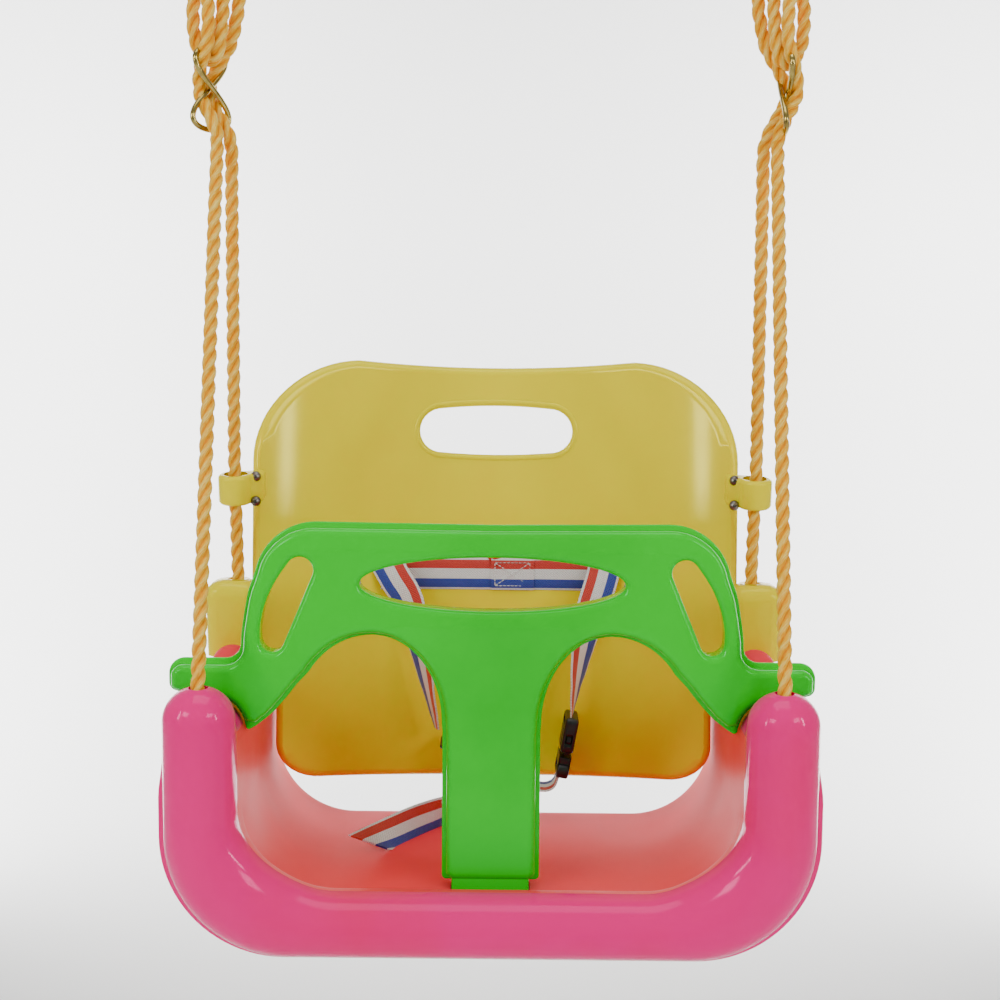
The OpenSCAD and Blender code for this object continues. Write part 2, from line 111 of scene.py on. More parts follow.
def make_world():
    world = bpy.data.worlds.new("studio")
    bpy.context.scene.world = world
    world.use_nodes = True
    background = world.node_tree.nodes["Background"]
    background.inputs["Color"].default_value = (1, 1, 1, 1)
    background.inputs["Strength"].default_value = 0.38


def make_stage():
    """A pale floor that curves up into a backdrop."""
    floor_z = up(-0.42)
    wall_y = 2.6
    bend = 1.0
    matte = Shader("stage")
    matte.set(Base_Color=(0.93, 0.93, 0.925, 1), Roughness=0.9)
    profile = [(-3.5, 0.0)] + arc((wall_y - bend, bend), bend, -90, 0, 12) + [(wall_y, 4.0)]
    rows = [[Vector((x, y, floor_z + z)) for y, z in profile] for x in (-5.0, 5.0)]
    grid("backdrop", rows, matte.material)


def make_lights():
    """Soft lights in front and above, a strip at each side for highlights, and a lit backdrop."""
    middle = (0, 0, up(0.22))
    area_light("top", (0, -0.2, up(1.9)), middle, (1.2, 1.0), 10)
    for side, power in ((-1, 12), (1, 10)):
        area_light("key", (side * 1.3, -1.6, up(1.2)), middle, (0.7, 0.5), power)
        area_light("strip", (side * 1.25, -0.80, up(0.62)), (0, 0.1, up(0.3)), (0.10, 0.55), 4.5)
        area_light("backdrop", (side * 1.35, 1.45, up(0.5)), (side * 0.45, 2.6, up(0.3)), (1.0, 1.8), 80)


# ---- Materials ----

class Shader:
    """A material under construction. Inputs are given as values, or as other nodes' outputs to link."""

    def __init__(self, name):
        self.material = bpy.data.materials.new(name)
        self.material.use_nodes = True
        self.tree = self.material.node_tree
        self.principled = self.tree.nodes["Principled BSDF"]
        self.coordinates = self.tree.nodes.new("ShaderNodeTexCoord").outputs

    def fill(self, node, inputs):
        for key, value in inputs.items():
            if isinstance(value, bpy.types.NodeSocket):
                self.tree.links.new(value, node.inputs[key])
            else:
                node.inputs[key].default_value = value

    def set(self, **inputs):
        self.fill(self.principled, {key.replace("_", " "): value for key, value in inputs.items()})

    def node(self, kind, inputs, **settings):
        made = self.tree.nodes.new("ShaderNode" + kind)
        for key, value in settings.items():
            setattr(made, key, value)
        self.fill(made, inputs)
        return made.outputs

    def noise(self, scale, detail=3, stretch=(1, 1, 1), source="Object"):
        mapped = self.node("Mapping", {"Vector": self.coordinates[source], "Scale": stretch})
        return self.node("TexNoise", {"Vector": mapped["Vector"], "Scale": scale, "Detail": detail})["Fac"]

    def ramp(self, factor, stops, interpolation="LINEAR"):
        made = self.tree.nodes.new("ShaderNodeValToRGB")
        made.color_ramp.interpolation = interpolation
        elements = made.color_ramp.elements
        while len(elements) < len(stops):
            elements.new(0.5)
        for element, (place, colour) in zip(elements, stops):
            element.position = place
            element.color = (*colour, 1)
        self.fill(made, {"Fac": factor})
        return made.outputs["Color"]

    def spread(self, factor, low, high):
        """Maps a 0 to 1 factor onto low to high."""
        return self.node("MapRange", {"Value": factor, "To Min": low, "To Max": high})["Result"]

    def math(self, operation, *values):
        return self.node("Math", dict(enumerate(values)), operation=operation)["Value"]

    def bump(self, height, strength, distance):
        return self.node("Bump", {"Height": height, "Strength": strength, "Distance": distance})["Normal"]


def moulded_plastic(name, colour, deep, gloss, rough=(0.07, 0.16), shine=0.45, waves=0.10):
    """Glossy polypropylene: cloudy depth, faint flow marks and a finely scuffed skin, with gloss
    as the tint of its reflections."""
    shader = Shader(name)
    bright = tuple(min(1.0, 1.06 * channel) for channel in colour)
    flow = shader.noise(16, 2, (1, 1, 0.35))
    grain = shader.math("MULTIPLY", shader.noise(900, 2), 0.06)
    shader.set(
        Base_Color=shader.ramp(shader.noise(7, 4), [(0.25, deep), (0.5, colour), (0.8, bright)]),
        Roughness=shader.spread(shader.noise(26, 5), *rough),
        Normal=shader.bump(shader.math("ADD", flow, grain), waves, 0.0022),
        IOR=1.49, Specular_IOR_Level=shine, Specular_Tint=(*gloss, 1),
        Subsurface_Weight=0.05, Subsurface_Radius=(0.9, 0.5, 0.25), Subsurface_Scale=0.006,
    )
    return shader.material


def fine_black():
    shader = Shader("black_plastic")
    dark, pale = (0.006, 0.006, 0.007), (0.022, 0.022, 0.024)
    shader.set(
        Base_Color=shader.ramp(shader.noise(60, 4), [(0.3, dark), (0.8, pale)]),
        Roughness=shader.spread(shader.noise(130, 4), 0.28, 0.46),
        Normal=shader.bump(shader.noise(1500, 2), 0.25, 0.0002),
    )
    return shader.material


def metal(name, colour, dark, rough, brushed=(1, 1, 1)):
    """Plated steel: patchy plating with fine drawn lines and dull spots."""
    shader = Shader(name)
    shader.set(
        Base_Color=shader.ramp(shader.noise(70, 5), [(0.3, dark), (0.6, colour)]),
        Roughness=shader.spread(shader.noise(240, 4, brushed), *rough),
        Normal=shader.bump(shader.noise(900, 3, brushed), 0.15, 0.00015),
        Metallic=1.0,
    )
    return shader.material


def rope_fibre():
    """Polypropylene yarn: painted highlight on the strands' crests, painted shade in deep orange between the
    strands, and fine twisted fibres.
    """
    shader = Shader("rope_fibre")
    fibres = shader.noise(1, 4, (26, 240, 1), "UV")
    crest_shading = shader.node("Attribute", {}, attribute_name="crest_shading")["Fac"]
    # Painted light: the crest value lightens each strand's outer side toward pale yellow and darkens the
    # hollows between strands toward deep orange, as painted highlight and painted shade; the fibre noise adds
    # real tone.
    mixed = shader.math("ADD", shader.math("MULTIPLY", crest_shading, 0.48), shader.math("MULTIPLY", fibres, 0.95))
    mixed = shader.math("ADD", mixed, shader.math("MULTIPLY", shader.noise(60, 3), 0.35))
    colours = [(0.08, (0.55, 0.12, 0.0)), (0.34, (0.88, 0.30, 0.0)),
               (0.60, (0.96, 0.46, 0.008)), (0.86, (1.0, 0.78, 0.20))]
    shader.set(
        Base_Color=shader.ramp(shader.math("SUBTRACT", mixed, 0.40), colours),
        Roughness=shader.spread(fibres, 0.42, 0.68),
        Normal=shader.bump(fibres, 0.55, 0.0006),
        Specular_IOR_Level=0.25, Specular_Tint=(1, 0.8, 0.4, 1),
        Subsurface_Weight=0.10, Subsurface_Radius=(0.9, 0.5, 0.2), Subsurface_Scale=0.002,
    )
    return shader.material


def webbing_weave():
    """Ribbed polyester webbing, red, white and blue along its length, from its UV across and along."""
    shader = Shader("webbing_weave")
    split = shader.node("SeparateXYZ", {"Vector": shader.coordinates["UV"]})
    white, red, blue = (0.82, 0.80, 0.80), (0.62, 0.035, 0.022), (0.025, 0.055, 0.36)
    stops = [(0.0, white), (0.07, red), (0.34, white), (0.66, blue), (0.93, white)]
    ribs = shader.math("SINE", shader.math("MULTIPLY", split["Y"], 2 * pi / 0.0021))
    cords = shader.math("SINE", shader.math("MULTIPLY", split["X"], 2 * pi * 13))
    weave = shader.math("MULTIPLY", ribs, cords)
    shade = shader.spread(shader.math("ADD", weave, shader.noise(500, 3)), 0.72, 1.06)
    grey = shader.node("CombineColor", {"Red": shade, "Green": shade, "Blue": shade})["Color"]
    stripes = shader.ramp(split["X"], stops, "CONSTANT")
    inputs = {"Factor": 1.0, "A": stripes, "B": grey}
    shader.set(
        Base_Color=shader.node("Mix", inputs, data_type="RGBA", blend_type="MULTIPLY")["Result"],
        Roughness=shader.spread(weave, 0.55, 0.8),
        Normal=shader.bump(weave, 0.6, 0.0004),
        Sheen_Weight=0.3, Sheen_Roughness=0.35,
    )
    return shader.material


def sewing_thread():
    shader = Shader("sewing_thread")
    grey, white = (0.62, 0.62, 0.60), (0.86, 0.86, 0.84)
    shader.set(
        Base_Color=shader.ramp(shader.noise(900, 2), [(0.3, grey), (0.7, white)]),
        Roughness=shader.spread(shader.noise(600, 2), 0.5, 0.7),
        Normal=shader.bump(shader.noise(2500, 2, (1, 3, 1)), 0.4, 0.0002),
    )
    return shader.material


# ---- Mesh helpers ----

def new_object(name, data):
    made = bpy.data.objects.new(name, data)
    bpy.context.collection.objects.link(made)
    return made


def carry(piece, body, slot, *nodes):
    """Says what body carries a piece, if one does, and the CAD nodes that it stands for, which it
    hides. The slot argument is not used."""
    if body:
        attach(piece, body)
    if nodes:
        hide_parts(*nodes)


def move(x, y, z):
    return Matrix.Translation((x, y, z))


def turn(degrees, axis):
    return Matrix.Rotation(radians(degrees), 4, axis)


def sweep(start, end, count):
    """Angles from start to end, given in degrees."""
    return np.radians(np.linspace(start, end, count))


SMOOTH_UP_TO = radians(38)


def smooth(piece, angle=SMOOTH_UP_TO):
    piece.data.polygons.foreach_set("use_smooth", [True] * len(piece.data.polygons))
    piece.data.set_sharp_from_angle(angle=angle)
    return piece


def from_bmesh(name, mesh, material, angle=SMOOTH_UP_TO):
    bmesh.ops.recalc_face_normals(mesh, faces=mesh.faces)
    data = bpy.data.meshes.new(name)
    mesh.to_mesh(data)
    mesh.free()
    data.materials.append(material)
    return smooth(new_object(name, data), angle)


def grid(name, rows, material, loop_rows=False, loop_columns=False, skip=None):
    """Quads over rows of points. skip(row, column) leaves a quad out."""
    mesh = bmesh.new()
    verts = [[mesh.verts.new(p) for p in row] for row in rows]
    n_rows, n_columns = len(rows), len(rows[0])
    for i in range(n_rows if loop_rows else n_rows - 1):
        for j in range(n_columns if loop_columns else n_columns - 1):
            if skip and skip(i, j):
                continue
            a, b = verts[i], verts[(i + 1) % n_rows]
            k = (j + 1) % n_columns
            mesh.faces.new((a[j], a[k], b[k], b[j]))
    bmesh.ops.remove_doubles(mesh, verts=mesh.verts, dist=0.00002)
    bmesh.ops.delete(mesh, geom=[v for v in mesh.verts if not v.link_faces], context="VERTS")
    return from_bmesh(name, mesh, material)


def evaluated(piece):
    graph = bpy.context.evaluated_depsgraph_get()
    return bpy.data.meshes.new_from_object(piece.evaluated_get(graph))


def apply_modifiers(piece):
    """Turns what the modifiers make into the piece's own mesh."""
    data = evaluated(piece)
    piece.modifiers.clear()
    piece.data = data
    return smooth(piece)


def thicken(piece, thickness, facing=None):
    """Thickens a skin away from its normals, which first turn to facing where it is given."""
    if facing and sum((f.normal * f.area for f in piece.data.polygons), Vector()).dot(facing) < 0:
        piece.data.flip_normals()
    solid = piece.modifiers.new("thickness", "SOLIDIFY")
    solid.thickness = thickness
    solid.offset = -1
    solid.use_even_offset = False
    return apply_modifiers(piece)


def cut(piece, cutters):
    """Takes the cutters out of the piece and removes them."""
    for cutter in cutters:
        boolean = piece.modifiers.new("cut", "BOOLEAN")
        boolean.operation = "DIFFERENCE"
        boolean.solver = "EXACT"
        boolean.object = cutter
    apply_modifiers(piece)
    for cutter in cutters:
        bpy.data.objects.remove(cutter, do_unlink=True)
    return piece


def join(name, pieces):
    """Makes one piece of several that each have one material."""
    mesh = bmesh.new()
    data = bpy.data.meshes.new(name)
    for piece in pieces:
        material = piece.data.materials[0]
        if material.name not in data.materials:
            data.materials.append(material)
        first = len(mesh.faces)
        mesh.from_mesh(piece.data)
        mesh.faces.ensure_lookup_table()
        for face in mesh.faces[first:]:
            face.material_index = data.materials.find(material.name)
        bpy.data.objects.remove(piece, do_unlink=True)
    mesh.to_mesh(data)
    mesh.free()
    return new_object(name, data)


def arc(centre, radius, start, end, steps):
    """Points along an arc; angles are in degrees."""
    angles = sweep(start, end, steps + 1)
    return [(centre[0] + radius * cos(a), centre[1] + radius * sin(a)) for a in angles]


def mirrored(points):
    return points + [(-x, y) for x, y in reversed(points) if x > 0]


def rounded_box(half_w, low, high, r, steps=5):
    """A rounded rectangle centred on X, from low to high."""
    corners = ((half_w - r, high - r), (r - half_w, high - r), (r - half_w, low + r), (half_w - r, low + r))
    return [p for k, corner in enumerate(corners) for p in arc(corner, r, 90 * k, 90 * k + 90, steps)]


def smooth_through(points, step):
    """A curve through points, as close points a step apart."""
    points = [Vector(p) for p in points]
    ends = [2 * points[0] - points[1], *points, 2 * points[-1] - points[-2]]
    line = []
    for a, b, c, d in zip(ends, ends[1:], ends[2:], ends[3:]):
        count = max(2, round((c - b).length / step))
        for i in range(count):
            t = i / count
            line.append(0.5 * (
                2 * b + (c - a) * t + (2 * a - 5 * b + 4 * c - d) * t * t + (3 * b - a - 3 * c + d) * t ** 3
            ))
    line.append(points[-1])
    return line


def flowing(points, step=0.002):
    """A smooth flat outline through a few of its points."""
    return [(p.x, p.y) for p in smooth_through([(x, y, 0) for x, y in points], step)]


def distances(line):
    """How far along a line each of its points is."""
    places = [0.0]
    for a, b in zip(line, line[1:]):
        places.append(places[-1] + (b - a).length)
    return places


def sides_along(line, closed=False):
    """Two directions square to the line at each point, turning as little as possible."""
    count = len(line)
    found = []
    side = None
    for i in range(count):
        after = line[(i + 1) % count] if closed else line[min(i + 1, count - 1)]
        before = line[i - 1] if closed else line[max(i - 1, 0)]
        direction = (after - before).normalized()
        if side is None:
            side = direction.orthogonal().normalized()
        side = (side - side.dot(direction) * direction).normalized()
        found.append((side, direction.cross(side)))
    return found


def circle(centre, radius, side, top, count):
    """Points round a circle in the plane of two directions."""
    angles = [2 * pi * k / count for k in range(count)]
    return [centre + radius * (cos(a) * side + sin(a) * top) for a in angles]


def tube(name, line, radius, material, sides=12, closed=False):
    axes = sides_along(line, closed)
    rows = [circle(point, radius, side, top, sides) for point, (side, top) in zip(line, axes)]
    if not closed:
        rows = [[line[0]] * sides] + rows + [[line[-1]] * sides]
    return grid(name, rows, material, loop_rows=closed, loop_columns=True)


def evened(loop, step=0.0012):
    """The closed outline with points at most a step apart."""
    points = []
    for a, b in zip(loop, loop[1:] + loop[:1]):
        a, b = np.array(a), np.array(b)
        count = max(1, ceil(np.linalg.norm(b - a) / step))
        points += [a + (b - a) * i / count for i in range(count)]
    return np.array(points)


def inset(loop, distance):
    """The closed outline drawn in by a distance, without the points where it would cross itself."""
    points = evened(loop)
    along = np.roll(points, -1, axis=0) - np.roll(points, 1, axis=0)
    along /= np.linalg.norm(along, axis=1)[:, None]
    following = np.roll(points, -1, axis=0)
    area = np.sum(points[:, 0] * following[:, 1] - points[:, 1] * following[:, 0])
    moved = points + np.sign(area) * distance * np.stack((-along[:, 1], along[:, 0]), axis=1)
    gaps = np.linalg.norm(moved[:, None] - points[None], axis=2).min(axis=1)
    kept = moved[gaps > 0.985 * abs(distance)]
    for _ in range(6):
        back = kept - np.roll(kept, 1, axis=0)
        on = np.roll(kept, -1, axis=0) - kept
        lengths = np.linalg.norm(back, axis=1) * np.linalg.norm(on, axis=1)
        kept = kept[np.sum(back * on, axis=1) > 0.3 * lengths]
    return [tuple(point) for point in kept]


def plate(name, loops, thickness, bevel, place, material, resolution=3):
    """A flat plate with rounded edges: closed outlines in its own X and Y, thick along its own Z."""
    data = bpy.data.curves.new(name, "CURVE")
    data.dimensions = "2D"
    data.fill_mode = "BOTH"
    data.extrude = thickness / 2 - bevel
    data.bevel_depth = bevel
    data.bevel_resolution = resolution
    for loop in [inset(loops[0], bevel)] + [inset(hole, -bevel) for hole in loops[1:]]:
        spline = data.splines.new("POLY")
        spline.points.add(len(loop) - 1)
        spline.use_cyclic_u = True
        for point, (x, y) in zip(spline.points, loop):
            point.co = (x, y, 0, 1)
    drawn = new_object(name + "_outline", data)
    mesh = bmesh.new()
    mesh.from_mesh(evaluated(drawn))
    bpy.data.objects.remove(drawn, do_unlink=True)
    bmesh.ops.remove_doubles(mesh, verts=mesh.verts, dist=0.00001)
    mesh.transform(place @ move(0, 0, thickness / 2))
    return from_bmesh(name, mesh, material, radians(30))


def upright(y):
    """Place of a plate drawn in X and Z above the seat's underside, thick towards +Y from y."""
    return Matrix(((1, 0, 0, 0), (0, 0, 1, y), (0, 1, 0, BASE_Z), (0, 0, 0, 1)))


def lathe(name, profile, place, material, sides=32):
    """Turns a profile of (radius, height) about its own Z."""
    x_axis, y_axis = Vector((1, 0, 0)), Vector((0, 1, 0))
    rows = []
    for radius, height in profile:
        ring = circle(Vector((0, 0, height)), radius, x_axis, y_axis, sides)
        rows.append([place @ point for point in ring])
    return grid(name, rows, material, loop_columns=True)


def block(name, low, high, bevel, material):
    """A small moulded block with rounded edges, from its lowest to its highest corner."""
    low, high = Vector(low), Vector(high)
    place = Matrix.Translation((high + low) / 2) @ Matrix.Diagonal((*(high - low), 1))
    mesh = bmesh.new()
    bmesh.ops.create_cube(mesh, size=1, matrix=place)
    bmesh.ops.bevel(mesh, geom=mesh.edges, offset=bevel, segments=2, profile=0.5, affect="EDGES")
    return from_bmesh(name, mesh, material, radians(50))


def smoothstep(x):
    x = min(1.0, max(0.0, x))
    return x * x * (3 - 2 * x)


# ---- Ropes ----

ROPE_D = 0.010
ROPE_LAY = 0.034
HOLE_R = 0.0064                               # of the holes that the ropes pass through
FRONT_FOOT = (0, -0.126, -0.544)
FRONT_HEAD = (0.003, -0.006, -0.156)
REAR_FOOT = (0, 0.058, -0.554)
REAR_BEND = (0, 0.035, -0.380)
REAR_HEAD = (-0.005, 0.005, -0.156)
HEAD_ROUTE = [
    (0.004, -0.006, -0.145), (0.009, -0.005, -0.133), (0.014, -0.001, -0.124), (0.016, 0.001, -0.117),
    (0.015, -0.004, -0.107), (0.012, -0.008, -0.097), (0.008, -0.011, -0.086), (0.007, -0.011, -0.070),
    (0.008, -0.010, -0.055), (0.010, -0.010, -0.036), (0.012, -0.011, -0.014), (0.012, -0.011, 0),
    (0.012, -0.008, 0.008), (0.012, 0, 0.011), (0.012, 0.008, 0.008), (0.012, 0.011, 0),
    (0.013, 0.011, -0.014), (0.018, 0.009, -0.034), (0.020, 0.006, -0.055), (0.020, 0.003, -0.072),
    (0.018, 0.003, -0.086), (0.013, 0.003, -0.094), (0.008, 0, -0.097), (0.003, -0.003, -0.094),
    (0.001, -0.005, -0.087), (-0.001, -0.004, -0.072), (-0.002, -0.002, -0.055), (-0.005, -0.005, -0.036),
    (-0.007, -0.011, -0.014), (-0.007, -0.011, 0), (-0.007, -0.008, 0.008), (-0.007, 0, 0.011),
    (-0.007, 0.008, 0.008), (-0.007, 0.011, 0), (-0.008, 0.011, -0.014), (-0.010, 0.010, -0.034),
    (-0.011, 0.008, -0.055), (-0.009, 0.006, -0.070), (-0.005, 0.005, -0.086), (0.002, 0.007, -0.097),
    (0.008, 0.009, -0.107), (0.010, 0.009, -0.117), (0.009, 0.008, -0.124), (0.004, 0.005, -0.133),
    (-0.002, 0.003, -0.144),
]
ADJUSTER_OUT = 0.008
ADJUSTER_LEVEL = -0.117
ADJUSTER_TURN = {"left": 52, "right": 88}
SIDES = {"left": -1, "right": 1}
front_axis = (Vector((0, *FRONT_HEAD[1:])) - Vector(FRONT_FOOT)).normalized()
rear_axis = (Vector(REAR_BEND) - Vector(REAR_FOOT)).normalized()


def rope_point(foot, axis, z, side=1):
    """Middle of a rope's leg at a height in the frame."""
    point = Vector(foot) + axis * ((z - foot[2]) / axis.z)
    return Vector((side * RAIL_X, point.y, point.z))


def straight(start, end, steps=8):
    return [Vector(start).lerp(Vector(end), i / steps) for i in range(steps)]


def rope_line(side):
    route = straight(FRONT_FOOT, FRONT_HEAD) + [Vector(p) for p in (FRONT_HEAD, *HEAD_ROUTE)]
    route += straight(REAR_HEAD, REAR_BEND) + straight(REAR_BEND, REAR_FOOT) + [Vector(REAR_FOOT)]
    return smooth_through([Vector((side * (RAIL_X + p.x), p.y, p.z)) for p in route], 0.0018)


def make_rope(name, side, material):
    """A three-strand laid rope, with a per-vertex painted-shading value for its colour (light on each
    strand's outer crest, shade where the strands meet) and UVs along its yarns.
    """
    line = rope_line(side)
    axes = sides_along(line)
    places = distances(line)
    strand_r = 0.27 * ROPE_D
    count = 10
    mesh = bmesh.new()
    uv = mesh.loops.layers.uv.new("UVMap")
    # Painted light weight per vertex: 1 on a strand's outer crest, 0 where it faces the rope's core.
    crest_shading = mesh.verts.layers.float.new("crest_shading")
    for strand in range(3):
        rows = []
        for point, (across, top), along in zip(line, axes, places):
            angle = 2 * pi * (strand / 3 + along / ROPE_LAY)
            out = cos(angle) * across + sin(angle) * top
            beside = cos(angle) * top - sin(angle) * across
            ring = circle(point + (ROPE_D / 2 - strand_r) * out, strand_r, out, beside, count)
            rows.append([mesh.verts.new(p) for p in ring])
            for k, vert in enumerate(rows[-1]):
                vert[crest_shading] = 0.5 + 0.5 * cos(2 * pi * k / count)
        for i in range(len(rows) - 1):
            for k in range(count):
                n = (k + 1) % count
                face = mesh.faces.new((rows[i][k], rows[i][n], rows[i + 1][n], rows[i + 1][k]))
                corners = ((k, i), (k + 1, i), (k + 1, i + 1), (k, i + 1))
                for loop, (turned, row) in zip(face.loops, corners):
                    loop[uv].uv = (turned / count + 6 * places[row], places[row])
        mesh.faces.new(rows[0])
        mesh.faces.new(rows[-1][::-1])
    return from_bmesh(name, mesh, material, radians(80)), line


def make_knots(name, side, material):
    """Stopper knots: the rope's end laid over itself in a trefoil, under each rope hole."""
    knots = []
    for foot, axis, height in (
        (FRONT_FOOT, front_axis, HORN_TOP - 0.019), (REAR_FOOT, rear_axis, RAIL_TOP - 0.017)
    ):
        middle = rope_point(foot, axis, up(height), side)
        line = []
        for t in np.radians(np.arange(0, 360, 5)):
            ring = 0.0048 + 0.0022 * cos(3 * t)
            line.append(middle + Vector((ring * cos(2 * t), ring * sin(2 * t), 0.0042 * sin(3 * t))))
        knots.append(tube("knot", line, 0.0034, material, 10, closed=True))
    carry(smooth(join("stopper_knots_" + name, knots)), "swing", "rope", "rope_knots")


def make_adjuster(name, side, material):
    """A wire bent into a figure of eight."""
    wire = 0.002
    half_height = 0.0295 - wire
    half_width = 0.017 - wire
    place = move(side * (RAIL_X + ADJUSTER_OUT), 0, ADJUSTER_LEVEL) @ turn(-side * ADJUSTER_TURN[name], "Z")
    line = []
    for i in range(120):
        a = 2 * pi * i / 120 + pi / 4
        line.append(place @ Vector((half_width * sin(2 * a), (wire + 0.0003) * sin(a), half_height * cos(a))))
    adjuster = tube("figure_eight_" + name, line, wire, material, 16, closed=True)
    carry(adjuster, "swing", "gilt_wire", "adjuster_" + name)
    return adjuster


def make_ropes():
    fibre = rope_fibre()
    gilt = metal("gilt_wire", (0.62, 0.48, 0.14), (0.20, 0.13, 0.03), (0.10, 0.26))
    for name, side in SIDES.items():
        make_knots(name, side, fibre)
        adjuster = make_adjuster(name, side, gilt)
        rope, line = make_rope("laid_rope_" + name, side, fibre)
        carry(rope, "swing", "rope", "rope_" + name)


# ---- Seat ----

SHELL_R = 0.080
TROUGH_R = 0.060
SKIN = 0.0032
RIM_SWELL = 0.17                              # how far the front rim rises above the floor


def seat_stations():
    """From the middle of the floor out to the top of the side rail: each says how to find the
    outer and the inner edge of the seat's wall, and how much of the front rim's swell it takes."""
    stations = []
    for kind, count in (("floor", 12), ("corner", 22), ("wall", 12), ("dome", 13)):
        for t in np.linspace(0, 1, count, endpoint=kind == "dome"):
            swell = {"floor": 1.0, "corner": 1 - smoothstep((t - 0.25) / 0.75)}.get(kind, 0.0)
            stations.append((kind, t, swell))
    return stations


def rail_height(y, angle):
    """Height of the side rail's round top at an angle round it. The front horn stands on it as a
    round post with a round top."""
    rail = RAIL_TOP - RAIL_R + RAIL_R * sin(angle)
    behind = y - RIM_Y
    reach = RIM_R * sin(angle)
    post = HORN_TOP - RIM_R + sqrt(max(0.0, reach ** 2 - max(0.0, behind) ** 2))
    return max(rail, rail + (post - rail) * smoothstep((reach + 0.001 - behind) / 0.005))


def wall_edges(kind, t, y):
    """Outer and inner edge (x, z) of the seat's wall at a station."""
    corner_out = (HALF_WIDTH - SHELL_R, SHELL_R)
    corner_in = (RAIL_X - RAIL_R - TROUGH_R, FLOOR_Z + TROUGH_R)
    if kind == "floor":
        return (t * corner_out[0], 0.0), (t * corner_in[0], FLOOR_Z)
    if kind == "corner":
        a = radians(90 * (1 - t))
        out = (corner_out[0] + SHELL_R * cos(a), corner_out[1] - SHELL_R * sin(a))
        inner = (corner_in[0] + TROUGH_R * cos(a), corner_in[1] - TROUGH_R * sin(a))
        return out, inner
    a = radians(90 * t) if kind == "dome" else 0.0
    top = rail_height(y, a)
    if kind == "wall":
        out_z = corner_out[1] + (top - corner_out[1]) * t
        in_z = corner_in[1] + (top - corner_in[1]) * t
        return (HALF_WIDTH, out_z), (RAIL_X - RAIL_R, in_z)
    return (RAIL_X + RAIL_R * cos(a), top), (RAIL_X - RAIL_R * cos(a), top)


def seat_profile():
    """From the lip round the front rim, back along the inside, down the rear and forward again
    along the outside: (share of the way from the outer to the inner edge, y, part)."""
    lip = [RIM_Y, RIM_Y + 0.0015, RIM_Y + 0.003]
    swell = [RIM_Y + 0.019 * sin(a) for a in sweep(18, 90, 6)]
    length = [RIM_Y + 0.0215, RIM_Y + 0.024] + list(np.linspace(RIM_Y + 0.027, BACK_Y - 0.014, 12))
    rear = [(a, BACK_Y - 0.010 * (1 - sin(a))) for a in sweep(0, 90, 6)]
    profile = [(-0.070 * grow, y, "lip") for grow, y in zip((1, 1.15, 1), reversed(lip))]
    for a in sweep(4, 180, 23):
        profile.append((0.5 - 0.5 * cos(a), RIM_Y - RIM_R * sin(a), "rim"))
    for y in lip[1:] + swell:
        profile.append((sqrt(max(0.0, 1 - ((y - RIM_Y) / 0.019) ** 2)), y, "swell"))
    profile += [(1.0, y, "inside") for y in length]
    profile += [(1 - 0.24 * (1 - cos(a)), y, "rear") for a, y in rear]
    profile += [(0.45, BACK_Y, "rear")]
    profile += [(0.15 * (1 - cos(a)), y, "rear") for a, y in reversed(rear)]
    profile += [(0.0, y, "outside") for y in list(reversed(length)) + list(reversed(swell))]
    return profile


def seat_point(station, place, side):
    kind, t, swell = station
    share, y, part = place
    round_ = cos(radians(90 * t)) if kind == "dome" else 1.0
    if part == "rim":
        y = RIM_Y + (y - RIM_Y) * round_
        share *= 1 + RIM_SWELL * swell * smoothstep(share)
    elif part == "swell":
        share = 1 + RIM_SWELL * swell * share
    elif part == "lip" and kind in ("wall", "dome"):
        fade = 1 - smoothstep((t - 0.4) / 0.5) if kind == "wall" else 0.0
        share *= fade
    outer, inner = wall_edges(kind, t, y)
    x = outer[0] + (inner[0] - outer[0]) * share
    z = outer[1] + (inner[1] - outer[1]) * share
    return Vector((side * x, y, up(z)))


def make_seat(pink, inside):
    stations = seat_stations()
    profile = seat_profile()
    order = [(station, 1) for station in reversed(stations)] + [(station, -1) for station in stations[1:]]
    rows = [[seat_point(station, place, side) for place in profile] for station, side in order]
    open_below = [station[0] == "floor" for station, _ in order]
    parts = [place[2] for place in profile]

    def skip(i, j):
        return open_below[i] and open_below[min(i + 1, len(order) - 1)] and parts[j] == "outside"

    seat = grid("seat_shell", rows, pink, loop_columns=True, skip=skip)
    seat.data.materials.append(inside)
    # Faces inside the bowl and along its rear edge take the salmon copy of the pink, which paints warm bounce
    # light there.
    for face in seat.data.polygons:
        deep = face.center.y > RIM_Y + 0.003 and face.center.z < up(RAIL_TOP - 0.006)
        inner = abs(face.center.x) < RAIL_X - RAIL_R + 0.001
        face.material_index = int(deep and (inner or face.center.y > BACK_Y - 0.012))
    thicken(seat, SKIN)
    cutters = []
    for side in SIDES.values():
        for foot, axis, top in ((FRONT_FOOT, front_axis, HORN_TOP), (REAR_FOOT, rear_axis, RAIL_TOP)):
            along = axis.to_track_quat("Z", "Y").to_matrix().to_4x4()
            place = Matrix.Translation(rope_point(foot, axis, up(top), side)) @ along
            deep = 0.012
            hole = [(0, -deep), (HOLE_R, -deep), (HOLE_R, deep), (0, deep)]
            cutters.append(lathe("hole", hole, place, pink))
    low = (-TONGUE_HALF - TONGUE_GAP, GUARD_LOW.y + TONGUE_BACK[0] - TONGUE_GAP, up(FLOOR_Z - 0.012))
    high = (TONGUE_HALF + TONGUE_GAP, GUARD_LOW.y + TONGUE_BACK[1] + TONGUE_GAP, up(FLOOR_Z + 0.012))
    cutters.append(block("slot", low, high, 0.0004, pink))
    carry(cut(seat, cutters), "swing", "pink_plastic", "seat_base")
    # The rail stops also take the salmon copy with its painted bounce light.
    make_rail_stops(inside)
    make_seat_underside(pink)


